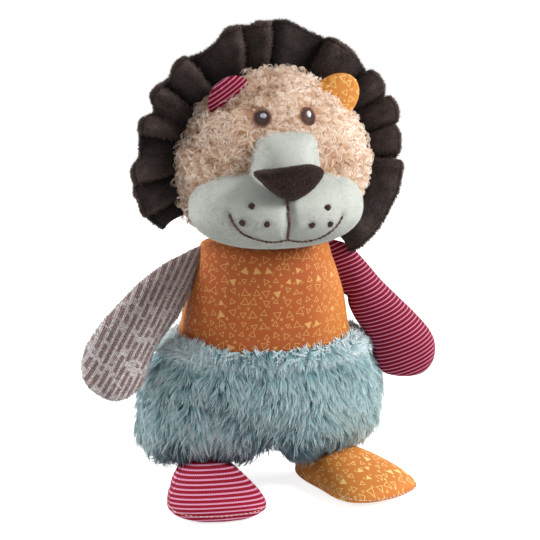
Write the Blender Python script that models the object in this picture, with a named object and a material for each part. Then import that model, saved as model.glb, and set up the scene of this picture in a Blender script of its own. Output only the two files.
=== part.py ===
"""Plush lion, a stuffed toy sewn from plush, knit and printed cotton panels.

Metres, +Z up. The lion stands on the plane z = 0 and faces -Y, and its left side is +X.
The origin is on that plane, under the middle of the lion.
Plush panels are as thick as their backing and their pile together.
"""
import math

import bmesh
import bpy
from mathutils import Vector

# Fabrics, seams and threads
SEAM_GAP = 0.0003
CURLY_PLUSH = 0.0060
SHAGGY_PLUSH = 0.0080
MINKY = 0.0020
COTTON = 0.0010
KNIT = 0.0014
THREAD_RADIUS = 0.0006
STITCH_LIFT = 0.0006
WELD_DISTANCE = 0.000001

# Spine: the line that the body's sections are centred on, which leans forward and a little to +X
SPINE_FOOT_Z = 0.050
SPINE_TOP_Z = 0.150
SPINE_FOOT_Y = 0.0060
SPINE_LEAN_FORWARD = 0.0150
SPINE_LEAN_SIDE = 0.0030

# Torso, from the waist seam up to the neck seam
WAIST_Z = 0.0920
TORSO_HEIGHT = 0.0600
TORSO_HALF_WIDTH = 0.0525
TORSO_HALF_DEPTH = 0.0430
TORSO_SIDES = 20
# height share, width share, depth share
TORSO_SHARES = (
    (0.00, 1.00, 1.00),
    (0.20, 0.975, 0.975),
    (0.43, 0.930, 0.93),
    (0.66, 0.865, 0.86),
    (0.84, 0.790, 0.77),
    (0.95, 0.715, 0.68),
    (1.00, 0.590, 0.57),
)

# Trousers, from the waist seam down to two leg ends
CROTCH_Z = 0.0297
TROUSER_HALF_WIDTH = 0.0760
TROUSER_HALF_DEPTH = 0.0500
LEG_DROP = 0.0100
LEG_SPREAD = 0.0380
LEG_INNER = 0.0030
LEG_OUTER = 0.0200
LEG_START_Z = 0.0640
ANKLE_Z = 0.0235
TROUSER_SIDES = 20
TROUSER_EASE = 0.0006
# drop share, width share, depth share
TROUSER_SHARES = (
    (0.00, 0.715, 0.87),
    (0.13, 0.835, 0.95),
    (0.30, 0.935, 0.99),
    (0.48, 0.99, 1.00),
    (0.64, 1.00, 0.98),
    (0.80, 0.965, 0.92),
    (0.91, 0.875, 0.82),
    (0.97, 0.70, 0.68),
    (1.00, 0.40, 0.42),
    (1.00, 0.00, 0.00),
)

# Head: a face panel and a back panel that meet at the mane seam
HEAD_CENTRE_X = 0.0025
HEAD_SEAM_Y = -0.0110
HEAD_HALF_WIDTH = 0.0590
HEAD_HALF_HEIGHT = 0.0517
FACE_DEPTH = 0.0470
NAPE_DEPTH = 0.0450
HEAD_SIDES = 24
HEAD_RINGS = 6
HEAD_ROUNDNESS = 0.92
JOWL_SHARE = 0.07

# Neck: a plug of filling between the torso's top and the head, which the head rolls on
NECK_RADIUS = 0.0195
NECK_CROWN = 0.0030
NECK_SKIRT = 0.0014
NECK_SIDES = 20
NECK_RINGS = 4

# Muzzle: a wide minky pad below a narrow minky bridge, and a velboa nose
MUZZLE_CENTRE_X = 0.0
MUZZLE_Y = -0.0390
MUZZLE_BELOW = 0.0250
MUZZLE_HALF_WIDTH = 0.0510
MUZZLE_HALF_HEIGHT = 0.0230
MUZZLE_DEPTH = 0.0350
MUZZLE_BACK = 0.0250
MUZZLE_BACK_SHARE = 0.80
MUZZLE_SQUARENESS = 2.3
MUZZLE_FULLNESS = 2.2
MUZZLE_SIDES = 24
MUZZLE_RINGS = 5
BRIDGE_Y = -0.0450
BRIDGE_BASE_BELOW = 0.0210
BRIDGE_HEIGHT = 0.0470
BRIDGE_HALF_WIDTH = 0.0210
BRIDGE_DEPTH = 0.0300
BRIDGE_SIDES = 16
# height share, width share, depth share
BRIDGE_SHARES = (
    (0.00, 1.00, 0.92),
    (0.24, 1.00, 0.97),
    (0.46, 0.97, 0.96),
    (0.64, 0.88, 0.78),
    (0.82, 0.76, 0.53),
    (0.94, 0.62, 0.29),
    (1.00, 0.44, 0.10),
)
NOSE_BELOW = 0.0020
NOSE_BACK_Y = -0.0640
NOSE_HALF_WIDTH = 0.0198
NOSE_RISE = 0.0058
NOSE_FALL = 0.0150
NOSE_DEPTH = 0.0170
NOSE_SIDES = 20
NOSE_RINGS = 4
NOSE_ROUNDNESS = 0.5
NOSE_CREST_BEND = 0.80
NOSE_CHIN_BEND = 1.45

# Embroidery
EYE_RADIUS = 0.0051
EYE_RISE = 0.0014
EYE_SPACING = 0.0270
EYE_ABOVE = 0.0265
EYE_CENTRE_X = 0.0012
GLINT_RADIUS = 0.0018
GLINT_RISE = 0.0006
GLINT_RAISED = 0.0018
DOT_RADIUS = 0.0017
DOT_RISE = 0.0009
DISC_SIDES = 12
# radius share, rise share
DISC_SHARES = ((1.0, 0.0), (0.96, 0.5), (0.7, 0.85), (0.0, 1.0))
# across and up from the muzzle's middle, as shares of its half width and half height
DOT_SHARES = ((0.42, 0.20), (0.485, -0.22), (0.255, -0.25))
SMILE_SHARES = (
    (0.03, -0.69), (0.13, -0.72), (0.25, -0.70), (0.37, -0.64),
    (0.47, -0.53), (0.55, -0.36), (0.61, -0.18), (0.64, -0.02),
)
MOUTH_SHARES = ((0.0, 0.24), (0.0, 0.0), (0.0, -0.22), (0.0, -0.44), (0.0, -0.60))

# Mane: one folded strip of velboa, pleated into the seam around the head
MANE_CENTRE_X = 0.0023
MANE_CENTRE_BELOW = 0.0040
MANE_OVERHANG = 0.0220
MANE_THICKNESS = 0.0030
MANE_PLEATS = 15
MANE_SAMPLES = 6
MANE_START_DEG = -47.0
MANE_END_DEG = 211.0
MANE_TUCK = 0.0050
MANE_WAVE = 0.0070
MANE_SCALLOP = 0.0020
MANE_END_TAPER = 0.0070
MANE_LEAN_DEG = 3.2
MANE_REACH_SHARES = (0.0, 0.24, 0.60, 1.0)
MANE_WAVE_SHARES = (0.0, 0.0, 0.75, 1.0)

# Ears: two half discs of cotton each, in front of the mane
EAR_HALF_WIDTH = 0.0135
EAR_HEIGHT = 0.0150
EAR_THICKNESS = 0.0028
EAR_Y = -0.0275
EAR_SINK = 0.0040
EAR_RIGHT_DEG = 124.0
EAR_LEFT_DEG = 46.0
EAR_SIDES = 20
EAR_EDGE_SHARE = 0.35

# Arms: each is sewn into the torso's side seam and hangs down and out
ARM_TOP_BELOW = 0.0025
ARM_ROOT_DROP = 0.0325
ARM_CLEARANCE = 0.0008
ARM_RIGHT_REACH = 0.0685
ARM_LEFT_REACH = 0.0632
ARM_HALF_THICKNESS = 0.0140
ARM_SIDES = 12
ARM_RIGHT_SWEEP = -0.0160
ARM_LEFT_SWEEP = -0.0060
# outer edge across and up, inner edge across and up, each as shares of the reach, and a thickness share
ARM_SHARES = (
    (-0.083, 0.250, 0.083, -0.250, 0.00),
    (0.050, 0.135, 0.125, -0.285, 0.36),
    (0.240, 0.010, 0.165, -0.355, 0.60),
    (0.430, -0.140, 0.245, -0.455, 0.80),
    (0.590, -0.285, 0.330, -0.565, 0.93),
    (0.780, -0.470, 0.400, -0.700, 1.00),
    (0.940, -0.660, 0.445, -0.850, 1.00),
    (1.000, -0.840, 0.470, -1.000, 0.88),
    (0.940, -1.020, 0.560, -1.110, 0.60),
    (0.800, -1.125, 0.680, -1.155, 0.30),
    (0.740, -1.175, 0.740, -1.175, 0.00),
)
# how far the cloth's thickness lifts the inside of the tip, by stations counted back from the tip
ARM_TIP_SHARES = {0: 1.0, 1: 0.8, 2: 0.4}

# Feet: flat pads under the leg ends, each turned out by its own angle
FOOT_SPLAY_RIGHT_DEG = 1.0
FOOT_SPLAY_LEFT_DEG = 28.0
FOOT_LENGTH = 0.0870
FOOT_HEEL_SHARE = 0.195
FOOT_HALF_WIDTH = 0.0285
FOOT_SEAM_Z = 0.0050
FOOT_ANKLE_Y = -0.0015
FOOT_STEP = 0.0035
FOOT_CLEARANCE = 0.0006
FOOT_FLAT_SHARE = 1.30
FOOT_SIDE_BEND = 0.85
FOOT_CROWN_BEND = 0.9
FOOT_SIDES = 16
# length share, width share, height share of the ankle's height
FOOT_SHARES = (
    (0.00, 0.00, 0.25),
    (0.03, 0.30, 0.60),
    (0.10, 0.52, 0.88),
    (0.25, 0.72, 1.00),
    (0.45, 0.87, 1.00),
    (0.66, 1.00, 0.93),
    (0.80, 0.92, 0.80),
    (0.90, 0.72, 0.62),
    (0.97, 0.40, 0.43),
    (1.00, 0.00, 0.25),
)

# Tail: a stuffed tube with a tuft of mane cloth, behind the trousers
TAIL_ROOT_Z = 0.0660
TAIL_RADIUS = 0.0050
TAIL_LENGTH = 0.0400
TAIL_SET_BACK = 0.0009
TAIL_SIDES = 10
TUFT_RADIUS = 0.0085
TUFT_LENGTH = 0.0260
# back from the root and up from it, as shares of the tail's length, and a share of its radius
TAIL_PATH_SHARES = (
    (0.00, 0.00, 0.30),
    (0.05, -0.01, 0.80),
    (0.14, -0.05, 1.00),
    (0.30, -0.22, 1.00),
    (0.42, -0.55, 1.00),
    (0.46, -0.92, 1.00),
)
# share of the tuft's length, share of its radius
TUFT_SHARES = ((0.0, 0.50), (0.12, 0.82), (0.40, 1.0), (0.70, 0.80), (0.90, 0.40), (1.0, 0.0))

# Heights that follow from the waist and the torso's top
TROUSER_DROP = WAIST_Z - SEAM_GAP - CROTCH_Z
NECK_TOP_Z = WAIST_Z + TORSO_HEIGHT
ARM_TOP_Z = NECK_TOP_Z - ARM_TOP_BELOW
HEAD_CENTRE_Z = NECK_TOP_Z + SEAM_GAP + HEAD_HALF_HEIGHT
MUZZLE_Z = HEAD_CENTRE_Z - MUZZLE_BELOW
BRIDGE_BASE_Z = HEAD_CENTRE_Z - BRIDGE_BASE_BELOW
NOSE_Z = HEAD_CENTRE_Z - NOSE_BELOW
EYE_Z = HEAD_CENTRE_Z + EYE_ABOVE
MANE_CENTRE_Z = HEAD_CENTRE_Z - MANE_CENTRE_BELOW
MANE_RADIUS = HEAD_HALF_WIDTH + MANE_OVERHANG
NECK_BASE_Z = NECK_TOP_Z - NECK_CROWN - NECK_SKIRT
FILLING_TOP_Z = NECK_BASE_Z - SEAM_GAP

COLOURS = {
    "cream": (0.80, 0.60, 0.42, 0.95),
    "white": (0.74, 0.76, 0.70, 0.85),
    "brown": (0.045, 0.026, 0.020, 0.90),
    "orange": (0.72, 0.22, 0.04, 0.75),
    "teal": (0.26, 0.50, 0.53, 0.95),
    "knit": (0.55, 0.49, 0.46, 0.90),
    "stripe": (0.42, 0.04, 0.08, 0.70),
    "thread": (0.10, 0.045, 0.035, 0.60),
    "glint": (0.72, 0.72, 0.70, 0.50),
    "filling": (0.85, 0.85, 0.83, 1.00),
}


def clear_scene():
    for item in list(bpy.data.objects):
        bpy.data.objects.remove(item, do_unlink=True)


def fabric_material(name):
    red, green, blue, roughness = COLOURS[name]
    material = bpy.data.materials.get(name) or bpy.data.materials.new(name)
    material.use_nodes = True
    shader = material.node_tree.nodes["Principled BSDF"]
    shader.inputs["Base Color"].default_value = (red, green, blue, 1)
    shader.inputs["Roughness"].default_value = roughness
    shader.inputs["Metallic"].default_value = 0
    return material


def power(value, exponent):
    """A power that keeps its value's sign."""
    return math.copysign(abs(value) ** exponent, value)


def smooth(value):
    """A share that eases in and out between 0 and 1."""
    share = min(max(value, 0), 1)
    return share * share * (3 - 2 * share)


def turn(sides, start=0.0, end=360.0):
    """Angles from start to end: all the way round when the turn is whole, and both ends when it isn't."""
    whole = end - start >= 360
    count = sides if whole else sides + 1
    return [math.radians(start + (end - start) * index / sides) for index in range(count)]


def spine(height):
    """The centre of a body section at this height."""
    share = (height - SPINE_FOOT_Z) / (SPINE_TOP_Z - SPINE_FOOT_Z)
    return Vector((SPINE_LEAN_SIDE * share, SPINE_FOOT_Y - SPINE_LEAN_FORWARD * share, height))


def add_face(mesh, corners, flipped):
    """One triangle, unless two of its corners coincide."""
    for index, corner in enumerate(corners):
        if (corner.co - corners[index - 1].co).length < WELD_DISTANCE:
            return
    mesh.faces.new(reversed(corners) if flipped else corners)


def add_strip(mesh, near, far, closed, flipped=False):
    """Triangles between two rows of vertices, always cut along the same diagonal."""
    count = len(near)
    for index in range(count if closed else count - 1):
        after = (index + 1) % count
        add_face(mesh, (near[index], near[after], far[after]), flipped)
        add_face(mesh, (near[index], far[after], far[index]), flipped)


def rows_of_vertices(mesh, rows):
    return [[mesh.verts.new(point) for point in row] for row in rows]


def finish_mesh(mesh, name, colour):
    bmesh.ops.remove_doubles(mesh, verts=mesh.verts, dist=WELD_DISTANCE)
    bmesh.ops.recalc_face_normals(mesh, faces=mesh.faces)
    if mesh.calc_volume(signed=True) < 0:
        bmesh.ops.reverse_faces(mesh, faces=mesh.faces)
    data = bpy.data.meshes.new(name)
    mesh.to_mesh(data)
    mesh.free()
    data.shade_smooth()
    piece = bpy.data.objects.new(name, data)
    piece.data.materials.append(fabric_material(colour))
    bpy.context.collection.objects.link(piece)
    return piece


def make_shell(name, colour, outer, inner, closed):
    """A panel of cloth between two matching grids of points."""
    mesh = bmesh.new()
    outside = rows_of_vertices(mesh, outer)
    inside = rows_of_vertices(mesh, inner)
    for near, far in zip(outside, outside[1:]):
        add_strip(mesh, near, far, closed)
    for near, far in zip(inside, inside[1:]):
        add_strip(mesh, near, far, closed, flipped=True)
    add_strip(mesh, inside[0], outside[0], closed)
    add_strip(mesh, outside[-1], inside[-1], closed)
    if not closed:
        for side, flipped in ((0, False), (-1, True)):
            edge_out = [row[side] for row in outside]
            edge_in = [row[side] for row in inside]
            add_strip(mesh, edge_out, edge_in, False, flipped)
    return finish_mesh(mesh, name, colour)


def make_solid(name, colour, rows):
    """A closed form through rings of points, with a fan over each open end."""
    mesh = bmesh.new()
    rings = rows_of_vertices(mesh, rows)
    for near, far in zip(rings, rings[1:]):
        add_strip(mesh, near, far, True)
    for ring, flipped in ((rings[0], True), (rings[-1], False)):
        middle = sum((vertex.co for vertex in ring), Vector()) / len(ring)
        tip = mesh.verts.new(middle)
        for index, vertex in enumerate(ring):
            add_face(mesh, (vertex, ring[(index + 1) % len(ring)], tip), flipped)
    loose = [vertex for vertex in mesh.verts if not vertex.link_faces]
    bmesh.ops.delete(mesh, geom=loose, context="VERTS")
    return finish_mesh(mesh, name, colour)


def shifted(rows, offset):
    return [[point + offset for point in row] for row in rows]


def make_cutter(name, rows):
    cutter = make_solid(name, "filling", rows)
    cutter.hide_render = True
    cutter.display_type = "WIRE"
    return cutter


def cut_by(piece, *cutters):
    for cutter in cutters:
        modifier = piece.modifiers.new("cut by " + cutter.name, "BOOLEAN")
        modifier.operation = "DIFFERENCE"
        modifier.solver = "EXACT"
        modifier.object = cutter


def pair_of_panels(names, colour, form, levels, sides, cloth):
    """A front panel and a back panel with their seam in the form's middle plane."""
    spans = {-1: (180.0, 360.0), 1: (0.0, 180.0)}
    for name, side in names:
        angles = turn(sides // 2, *spans[side])
        offset = Vector((0, side * SEAM_GAP / 2, 0))
        outer = [[form(level, angle, 0) for angle in angles] for level in levels]
        inner = [[form(level, angle, cloth) for angle in angles] for level in levels]
        make_shell(name, colour, shifted(outer, offset), shifted(inner, offset), False)


def torso_point(level, angle, inset):
    height_share, width_share, depth_share = TORSO_SHARES[level]
    centre = spine(WAIST_Z + TORSO_HEIGHT * height_share)
    across = (TORSO_HALF_WIDTH * width_share - inset) * math.cos(angle)
    along = (TORSO_HALF_DEPTH * depth_share - inset) * math.sin(angle)
    return centre + Vector((across, along, 0))


def leg_share(across):
    """How far the trousers drop into a leg at this distance from the middle."""
    return smooth((abs(across) - LEG_INNER) / (LEG_OUTER - LEG_INNER))


def trouser_point(level, angle, inset):
    drop_share, width_share, depth_share = TROUSER_SHARES[level]
    height = WAIST_Z - SEAM_GAP - TROUSER_DROP * drop_share
    height += inset * smooth((LEG_START_Z - height) / (LEG_START_Z - CROTCH_Z))
    centre = spine(height)
    across = max(TROUSER_HALF_WIDTH * width_share - inset, 0) * math.cos(angle)
    along = max(TROUSER_HALF_DEPTH * depth_share - inset, 0) * math.sin(angle)
    point = centre + Vector((across, along, 0))
    sunk = smooth((LEG_START_Z - height) / (LEG_START_Z - CROTCH_Z))
    point.z -= LEG_DROP * sunk * leg_share(across)
    point.z = max(point.z, ANKLE_Z + inset)
    return point


def make_body():
    torso_levels = range(len(TORSO_SHARES))
    trouser_levels = range(len(TROUSER_SHARES))
    torso_names = (("torso_front_panel", -1), ("torso_back_panel", 1))
    pair_of_panels(torso_names, "orange", torso_point, torso_levels, TORSO_SIDES, COTTON)
    trouser_names = (("trousers_front_panel", -1), ("trousers_back_panel", 1))
    pair_of_panels(trouser_names, "teal", trouser_point, trouser_levels, TROUSER_SIDES, SHAGGY_PLUSH)
    angles = turn(TORSO_SIDES)
    upper = [[torso_point(level, angle, COTTON + SEAM_GAP) for angle in angles] for level in torso_levels]
    for point in (point for row in upper for point in row):
        point.z = min(point.z, FILLING_TOP_Z)
    below = SHAGGY_PLUSH + TROUSER_EASE
    lower = [[trouser_point(level, angle, below) for angle in angles] for level in trouser_levels]
    waist = [[Vector((point.x, point.y, WAIST_Z)) for point in lower[0]]]
    make_solid("body_filling", "filling", list(reversed(upper)) + waist + lower)


def make_neck():
    """A low crowned plug, whose top touches the head at the point that the head rolls and turns on."""
    centre = Vector((HEAD_CENTRE_X, HEAD_SEAM_Y, NECK_TOP_Z))
    rows = []
    for ring in range(NECK_RINGS + 1):
        share = ring / NECK_RINGS
        radius = NECK_RADIUS * share
        drop = NECK_CROWN * share * share
        rows.append([centre + Vector((radius * math.cos(angle), radius * math.sin(angle), -drop))
                     for angle in turn(NECK_SIDES)])
    rows.append([Vector((point.x, point.y, NECK_BASE_Z)) for point in rows[-1]])
    make_solid("neck_filling", "filling", rows)


def mane_cover(angle):
    """How much of the mane's thickness the head seam holds at this angle, 0 or 1."""
    degrees = math.degrees(angle)
    if degrees > 270:
        degrees -= 360
    step = 360 / HEAD_SIDES
    return 1 if MANE_START_DEG - step < degrees < MANE_END_DEG + step else 0


def head_section(radial, angle, inset):
    """Across and up from the head's centre, on a ring of this relative size."""
    up = radial * math.sin(angle)
    across = radial * math.cos(angle) * (1 - JOWL_SHARE * up)
    return (HEAD_HALF_WIDTH - inset) * across, (HEAD_HALF_HEIGHT - inset) * up


def head_point(ring, angle, inset, side):
    """A point of the head's skin: side -1 is the face, and +1 is the nape."""
    depth = (FACE_DEPTH if side < 0 else NAPE_DEPTH) - inset
    latitude = math.radians(90 * ring / HEAD_RINGS)
    radial = power(math.cos(latitude), HEAD_ROUNDNESS) if ring < HEAD_RINGS else 0
    across, up = head_section(radial, angle, inset)
    held = mane_cover(angle) if ring == 0 else 1
    half_seam = SEAM_GAP / 2 + (MANE_THICKNESS + SEAM_GAP) / 2 * held
    forward = depth * power(math.sin(latitude), HEAD_ROUNDNESS)
    y = HEAD_SEAM_Y + side * (half_seam + forward)
    return Vector((HEAD_CENTRE_X + across, y, HEAD_CENTRE_Z + up))


def face_y(x, z):
    """The face's outer surface at this place in the front view."""
    up = (z - HEAD_CENTRE_Z) / HEAD_HALF_HEIGHT
    across = (x - HEAD_CENTRE_X) / HEAD_HALF_WIDTH / (1 - JOWL_SHARE * up)
    radial = min(math.hypot(across, up), 1)
    forward = FACE_DEPTH * (1 - radial ** (2 / HEAD_ROUNDNESS)) ** (HEAD_ROUNDNESS / 2)
    return HEAD_SEAM_Y - SEAM_GAP - MANE_THICKNESS / 2 - forward


def head_rows(inset, side):
    angles = turn(HEAD_SIDES)
    return [[head_point(ring, angle, inset, side) for angle in angles] for ring in range(HEAD_RINGS + 1)]


def make_head():
    for name, side in (("face_panel", -1), ("head_back_panel", 1)):
        make_shell(name, "cream", head_rows(0, side), head_rows(CURLY_PLUSH, side), True)
    inset = CURLY_PLUSH + SEAM_GAP
    front = list(reversed(head_rows(inset, -1)))
    make_solid("head_filling", "filling", front + head_rows(inset, 1))
    cutter_front = list(reversed(head_rows(-SEAM_GAP, -1)))
    return make_cutter("head_cutter", cutter_front + head_rows(-SEAM_GAP, 1))


def muzzle_ring(share, y, inset):
    exponent = 2 / MUZZLE_SQUARENESS
    half_width = (MUZZLE_HALF_WIDTH - inset) * share
    half_height = (MUZZLE_HALF_HEIGHT - inset) * share
    return [Vector((MUZZLE_CENTRE_X + half_width * power(math.cos(angle), exponent), y,
                    MUZZLE_Z + half_height * power(math.sin(angle), exponent)))
            for angle in turn(MUZZLE_SIDES)]


def muzzle_rows(inset):
    """Rings from the muzzle's back, inside the head, to its front."""
    rows = [muzzle_ring(MUZZLE_BACK_SHARE, MUZZLE_Y + MUZZLE_BACK, inset)]
    exponent = 2 / MUZZLE_FULLNESS
    for ring in range(MUZZLE_RINGS + 1):
        latitude = math.radians(90 * ring / MUZZLE_RINGS)
        share = power(math.cos(latitude), exponent) if ring < MUZZLE_RINGS else 0
        forward = (MUZZLE_DEPTH - inset) * power(math.sin(latitude), exponent)
        rows.append(muzzle_ring(share, MUZZLE_Y - forward, inset))
    return rows


def muzzle_surface(x, z, raised):
    """A point over the muzzle's front, raised off its skin."""
    across = abs(x - MUZZLE_CENTRE_X) / (MUZZLE_HALF_WIDTH + raised)
    up = abs(z - MUZZLE_Z) / (MUZZLE_HALF_HEIGHT + raised)
    radial = min(across ** MUZZLE_SQUARENESS + up ** MUZZLE_SQUARENESS, 1) ** (1 / MUZZLE_SQUARENESS)
    forward = (MUZZLE_DEPTH + raised) * (1 - radial ** MUZZLE_FULLNESS) ** (1 / MUZZLE_FULLNESS)
    return Vector((x, MUZZLE_Y - forward, z))


def bridge_rows(inset):
    rows = []
    for height_share, width_share, depth_share in BRIDGE_SHARES:
        half_width = BRIDGE_HALF_WIDTH * width_share - inset
        depth = max(BRIDGE_DEPTH * depth_share - inset, WELD_DISTANCE)
        z = BRIDGE_BASE_Z + BRIDGE_HEIGHT * height_share
        rows.append([Vector((half_width * math.cos(angle), BRIDGE_Y + depth * math.sin(angle), z))
                     for angle in turn(BRIDGE_SIDES)])
    return rows


def nose_rows(inset):
    """Rings of a rounded triangle, from the nose's back to its tip."""
    rows = []
    for ring in range(NOSE_RINGS + 2):
        latitude = math.radians(90 * max(ring - 1, 0) / NOSE_RINGS)
        share = math.cos(latitude) ** NOSE_ROUNDNESS if ring <= NOSE_RINGS else 0
        forward = 0 if ring == 0 else NOSE_DEPTH / 2 * (1 + math.sin(latitude))
        row = []
        for angle in turn(NOSE_SIDES):
            rise = NOSE_RISE if math.sin(angle) > 0 else NOSE_FALL
            bend = NOSE_CREST_BEND if math.sin(angle) > 0 else NOSE_CHIN_BEND
            across = (NOSE_HALF_WIDTH - inset) * share * power(math.cos(angle), bend)
            up = (rise - inset) * share * power(math.sin(angle), bend)
            row.append(Vector((across, NOSE_BACK_Y - forward + inset, NOSE_Z + up)))
        rows.append(row)
    return rows


def make_muzzle(head_cutter):
    muzzle_cutter = make_cutter("muzzle_cutter", muzzle_rows(-SEAM_GAP))
    bridge_cutter = make_cutter("bridge_cutter", bridge_rows(-SEAM_GAP))
    cover = make_shell("muzzle_panel", "white", muzzle_rows(0), muzzle_rows(MINKY), True)
    cut_by(cover, head_cutter)
    filling = make_solid("muzzle_filling", "filling", muzzle_rows(MINKY + SEAM_GAP))
    cut_by(filling, head_cutter)
    bridge = make_shell("bridge_panel", "white", bridge_rows(0), bridge_rows(MINKY), True)
    cut_by(bridge, head_cutter, muzzle_cutter)
    bridge_filling = make_solid("bridge_filling", "filling", bridge_rows(MINKY + SEAM_GAP))
    cut_by(bridge_filling, head_cutter, muzzle_cutter)
    nose = make_solid("nose", "brown", nose_rows(0))
    cut_by(nose, muzzle_cutter, bridge_cutter, head_cutter)


def make_disc(name, colour, centre, normal, radius, rise):
    """A low dome of embroidery on a flat base."""
    out = normal.normalized()
    side = out.cross(Vector((0, 0, 1))).normalized()
    up = side.cross(out)
    rows = []
    for share, lift in DISC_SHARES:
        reach = radius * share
        rows.append([centre + side * (reach * math.cos(angle)) + up * (reach * math.sin(angle)) + out * (rise * lift)
                     for angle in turn(DISC_SIDES)])
    return make_solid(name, colour, rows)


def surface_normal(surface, x, z, step):
    across = surface(x + step, z) - surface(x - step, z)
    up = surface(x, z + step) - surface(x, z - step)
    return across.cross(up)


def make_eyes():
    def over_face(x, z):
        return Vector((x, face_y(x, z) - SEAM_GAP, z))

    for name, side in (("right", -1), ("left", 1)):
        x = EYE_CENTRE_X + side * EYE_SPACING / 2
        normal = surface_normal(over_face, x, EYE_Z, EYE_RADIUS).normalized()
        centre = over_face(x, EYE_Z)
        make_disc("eye_" + name, "thread", centre, normal, EYE_RADIUS, EYE_RISE)
        up = (Vector((0, 0, 1)) - normal * normal.z).normalized()
        glint = centre + normal * (EYE_RISE + SEAM_GAP) + up * GLINT_RAISED
        make_disc("eye_glint_" + name, "glint", glint, normal, GLINT_RADIUS, GLINT_RISE)


def make_stitch_line(name, points):
    curve = bpy.data.curves.new(name, "CURVE")
    curve.dimensions = "3D"
    curve.bevel_depth = THREAD_RADIUS
    curve.bevel_resolution = 1
    curve.use_fill_caps = True
    spline = curve.splines.new("POLY")
    spline.points.add(len(points) - 1)
    for spot, point in zip(spline.points, points):
        spot.co = (point.x, point.y, point.z, 1)
    curve.materials.append(fabric_material("thread"))
    line = bpy.data.objects.new(name, curve)
    bpy.context.collection.objects.link(line)


def make_mouth():
    raised = THREAD_RADIUS + STITCH_LIFT

    def over_muzzle(x, z):
        return muzzle_surface(x, z, raised)

    def stitch(share, side):
        return over_muzzle(side * share[0] * MUZZLE_HALF_WIDTH, MUZZLE_Z + share[1] * MUZZLE_HALF_HEIGHT)

    make_stitch_line("mouth_stitching", [stitch(share, 1) for share in MOUTH_SHARES])
    for name, side in (("right", -1), ("left", 1)):
        make_stitch_line("smile_stitching_" + name, [stitch(share, side) for share in SMILE_SHARES])
        for number, (across, up) in enumerate(DOT_SHARES, 1):
            x = side * across * MUZZLE_HALF_WIDTH
            z = MUZZLE_Z + up * MUZZLE_HALF_HEIGHT
            normal = surface_normal(over_muzzle, x, z, DOT_RADIUS)
            centre = muzzle_surface(x, z, SEAM_GAP)
            make_disc(f"whisker_dot_{name}_{number}", "thread", centre, normal, DOT_RADIUS, DOT_RISE)


def mane_centre_point(share, reach):
    """A point in the middle of the pleated strip: share runs along it, and reach runs out from the head."""
    degrees = MANE_START_DEG + (MANE_END_DEG - MANE_START_DEG) * share
    phase = math.tau * MANE_PLEATS * share
    wave = 0
    for low, high, wave_low, wave_high in zip(MANE_REACH_SHARES, MANE_REACH_SHARES[1:],
                                              MANE_WAVE_SHARES, MANE_WAVE_SHARES[1:]):
        if low <= reach <= high:
            wave = wave_low + (wave_high - wave_low) * (reach - low) / (high - low)
    angle = math.radians(degrees + MANE_LEAN_DEG * wave * math.cos(phase))
    across, up = head_section(1, angle, MANE_TUCK)
    inner = Vector((HEAD_CENTRE_X + across, 0, HEAD_CENTRE_Z + up))
    taper = MANE_END_TAPER * (1 - smooth(min(share, 1 - share) * MANE_PLEATS / 2))
    radius = MANE_RADIUS - MANE_SCALLOP * (1 - math.cos(phase)) / 2 - taper
    outer = Vector((MANE_CENTRE_X + radius * math.cos(angle), 0, MANE_CENTRE_Z + radius * math.sin(angle)))
    point = inner.lerp(outer, reach)
    point.y = HEAD_SEAM_Y - MANE_WAVE * wave * math.cos(phase)
    return point


def make_mane():
    columns = MANE_PLEATS * MANE_SAMPLES
    half = MANE_THICKNESS / 2
    nudge = 1 / columns / 4
    front = []
    back = []
    for reach in MANE_REACH_SHARES:
        front_row = []
        back_row = []
        for column in range(columns + 1):
            share = column / columns
            point = mane_centre_point(share, reach)
            along = mane_centre_point(share + nudge, reach) - mane_centre_point(share - nudge, reach)
            out = point - Vector((MANE_CENTRE_X, point.y, MANE_CENTRE_Z))
            normal = along.cross(out).normalized()
            front_row.append(point - normal * half)
            back_row.append(point + normal * half)
        front.append(front_row)
        back.append(back_row)
    make_shell("mane_ruffle", "brown", front, back, False)


def make_ears(head_cutter):
    for name, degrees, colour in (("right", EAR_RIGHT_DEG, "stripe"), ("left", EAR_LEFT_DEG, "orange")):
        angle = math.radians(degrees)
        across, up = head_section(1, angle, CURLY_PLUSH + EAR_SINK)
        base = Vector((HEAD_CENTRE_X + across, EAR_Y, HEAD_CENTRE_Z + up))
        out = Vector((math.cos(angle), 0, math.sin(angle)))
        side = Vector((-math.sin(angle), 0, math.cos(angle)))
        height = EAR_HEIGHT + CURLY_PLUSH
        for face, direction in (("front", -1), ("back", 1)):
            near = Vector((0, direction * SEAM_GAP / 2, 0))
            far = Vector((0, direction * EAR_THICKNESS, 0))
            outline = [side * (EAR_HALF_WIDTH * math.cos(turned)) + out * (height * math.sin(turned))
                       for turned in turn(EAR_SIDES)]
            rows = [[base + near + spot for spot in outline],
                    [base + near.lerp(far, EAR_EDGE_SHARE) + spot for spot in outline],
                    [base + far + spot * (1 - EAR_EDGE_SHARE) for spot in outline]]
            ear = make_solid(f"ear_{name}_{face}_panel", colour, rows)
            cut_by(ear, head_cutter)


def torso_edge(z, side):
    """The torso's side seam at this height, with the clearance that an arm keeps to it."""
    for level, (share, width_share, _) in enumerate(TORSO_SHARES):
        if WAIST_Z + TORSO_HEIGHT * share > z:
            low_share, low_width, _ = TORSO_SHARES[level - 1]
            part = (z - WAIST_Z - TORSO_HEIGHT * low_share) / (TORSO_HEIGHT * (share - low_share))
            half_width = TORSO_HALF_WIDTH * (low_width + (width_share - low_width) * part)
            break
    centre = spine(z)
    return Vector((centre.x + side * (half_width + ARM_CLEARANCE), centre.y, z))


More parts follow.
